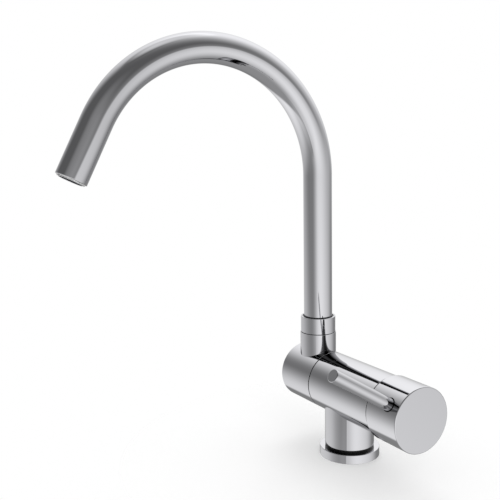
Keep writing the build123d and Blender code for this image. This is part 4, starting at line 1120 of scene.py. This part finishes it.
def white_table(colours):
    """Matt white laminate that fades out round the tap, so that its far edge never shows."""
    material, tree, place = new_material("white_table")
    far = add(tree, "ShaderNodeVectorMath", {0: place}, operation="LENGTH").outputs["Value"]
    fade = add(
        tree,
        "ShaderNodeMapRange",
        {"Value": far, "From Min": FLOOR_FADE[0], "From Max": FLOOR_FADE[1], "To Min": 1.0, "To Max": 0.0},
        interpolation_type="SMOOTHSTEP",
    )
    under = add(tree, "ShaderNodeNewGeometry").outputs["Backfacing"]
    front = add(tree, "ShaderNodeMath", {0: 1.0, 1: under}, operation="SUBTRACT")
    cover = add(tree, "ShaderNodeMath", {0: fade, 1: front}, operation="MULTIPLY")
    dust = add(tree, "ShaderNodeTexNoise", {"Vector": place, "Scale": 1 / (DUST * MM), "Detail": 2.0})
    rough = add(tree, "ShaderNodeMapRange", {"Value": dust, "To Min": 0.75, "To Max": 0.95})
    matt = add(tree, "ShaderNodeBsdfPrincipled", {
        "Base Color": colour4(colours.floor), "Roughness": rough, "Specular IOR Level": 0.1,
    })
    seen = add(tree, "ShaderNodeLightPath").outputs["Is Camera Ray"]
    glow = add(tree, "ShaderNodeMath", {0: seen, 1: FLOOR_GLOW}, operation="MULTIPLY")
    white = add(tree, "ShaderNodeEmission", {"Strength": 1.0})
    matt = add(tree, "ShaderNodeMixShader", {0: glow, 1: matt, 2: white})
    clear = add(tree, "ShaderNodeBsdfTransparent")
    shader = add(tree, "ShaderNodeMixShader", {0: cover, 1: clear, 2: matt})
    add(tree, "ShaderNodeOutputMaterial", {"Surface": shader})
    return material


def soft_panels():
    """Soft panels of a photographer's room, as light that only reflections see, with painted shade where
    chrome shows chrome.
    """
    material, tree, place = new_material("soft_panels")
    ray = add(tree, "ShaderNodeVectorMath", {0: place}, operation="NORMALIZE")

    def ramp(pole, start, end, height):
        """Light that rises from the angle whose cosine from the pole is start to that of end."""
        along = add(tree, "ShaderNodeVectorMath", {0: ray, 1: towards(*pole)}, operation="DOT_PRODUCT")
        links = {"Value": along.outputs["Value"], "From Min": start, "From Max": end, "To Max": height}
        return add(tree, "ShaderNodeMapRange", links, interpolation_type="SMOOTHSTEP")

    total = ROOM_LEVEL
    for centre, out, strength, edges in PANELS:
        light = ramp(centre, math.cos(math.radians(out)), 1.0, strength)
        for azimuth, elevation, *angles in edges:
            starts, lit = (math.sin(math.radians(angle)) for angle in angles)
            edge = ramp((azimuth, elevation), starts, lit, 1.0)
            light = add(tree, "ShaderNodeMath", {0: light, 1: edge}, operation="MULTIPLY")
        total = add(tree, "ShaderNodeMath", {0: light, 1: total}, operation="ADD")
    # painted shade: rays past the first reflection see the panels darker, so chrome shown in chrome looks
    # darker
    depth = add(tree, "ShaderNodeLightPath").outputs["Ray Depth"]
    second = add(tree, "ShaderNodeMath", {0: depth, 1: FIRST_DEPTH}, operation="GREATER_THAN")
    painted_shade = add(tree, "ShaderNodeMath", {0: second, 1: SECOND_REFLECTION_PAINTED_SHADE}, operation="MULTIPLY")
    level = add(tree, "ShaderNodeMath", {0: total, 1: painted_shade}, operation="SUBTRACT")
    level = add(tree, "ShaderNodeMath", {0: level, 1: 0.0}, operation="MAXIMUM")
    light = add(tree, "ShaderNodeEmission", {"Strength": level})
    add(tree, "ShaderNodeOutputMaterial", {"Surface": light})
    material.cycles.emission_sampling = "NONE"
    return material


class TAP_OT_studio(bpy.types.Operator):
    """Sets up the floor, the soft lamps and the camera at the photographed angle"""

    bl_idname = "tap.studio"
    bl_label = "Studio"

    def execute(self, context):
        scene = context.scene
        scene.view_settings.view_transform = "Standard"
        scene.world = white_room()
        scene.camera = camera_in_place()
        scene.collection.objects.link(scene.camera)
        for lamp in LAMPS:
            scene.collection.objects.link(soft_lamp(*lamp))
        turns = [2 * math.pi * k / FLOOR_SIDES for k in range(FLOOR_SIDES)]
        edge = [(FLOOR_RADIUS * math.cos(a), FLOOR_RADIUS * math.sin(a), -FLOOR_DROP) for a in turns]
        mesh = bpy.data.meshes.new("floor")
        mesh.from_pydata(edge, [], [list(range(FLOOR_SIDES))])
        mesh.materials.append(white_table(scene.tap_colours))
        floor = bpy.data.objects.new("floor", mesh)
        floor.visible_glossy = False
        ball = bmesh.new()
        bmesh.ops.create_icosphere(ball, subdivisions=4, radius=ROOM_RADIUS)
        bmesh.ops.reverse_faces(ball, faces=ball.faces)
        mesh = bpy.data.meshes.new("soft_panels")
        ball.to_mesh(mesh)
        ball.free()
        mesh.materials.append(soft_panels())
        room = bpy.data.objects.new("soft_panels", mesh)
        room.visible_camera = room.visible_diffuse = room.visible_shadow = False
        for thing in (floor, room):
            scene.collection.objects.link(thing)
        return {"FINISHED"}


# ---- add-on ----------------------------------------------------------------------------------
OPERATORS = (
    TAP_OT_finishes,
    TAP_OT_base_rings,
    TAP_OT_body,
    TAP_OT_seam_rings,
    TAP_OT_knob,
    TAP_OT_lever,
    TAP_OT_holder,
    TAP_OT_collar,
    TAP_OT_spout,
    TAP_OT_aerator,
    TAP_OT_threads,
    TAP_OT_studio,
)


class TAP_PT_panel(bpy.types.Panel):
    """Lists the tap's sizes, colours and building steps"""

    bl_idname = "TAP_PT_panel"
    bl_label = "Three way tap"
    bl_space_type = "VIEW_3D"
    bl_region_type = "UI"
    bl_category = "Tap"

    def draw(self, context):
        for group in (context.scene.tap_sizes, context.scene.tap_colours):
            box = self.layout.box()
            for name in group.__annotations__:
                box.prop(group, name)
        for operator in OPERATORS:
            self.layout.operator(operator.bl_idname)


CLASSES = (TapSizes, TapColours, *OPERATORS, TAP_PT_panel)


def register():
    for made in CLASSES:
        bpy.utils.register_class(made)
    bpy.types.Scene.tap_sizes = PointerProperty(type=TapSizes)
    bpy.types.Scene.tap_colours = PointerProperty(type=TapColours)


def unregister():
    del bpy.types.Scene.tap_colours
    del bpy.types.Scene.tap_sizes
    for made in reversed(CLASSES):
        bpy.utils.unregister_class(made)


def main():
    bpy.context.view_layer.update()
    register()
    for operator in OPERATORS:
        group, name = operator.bl_idname.split(".")
        getattr(getattr(bpy.ops, group), name)()


if __name__ == "__main__":
    main()
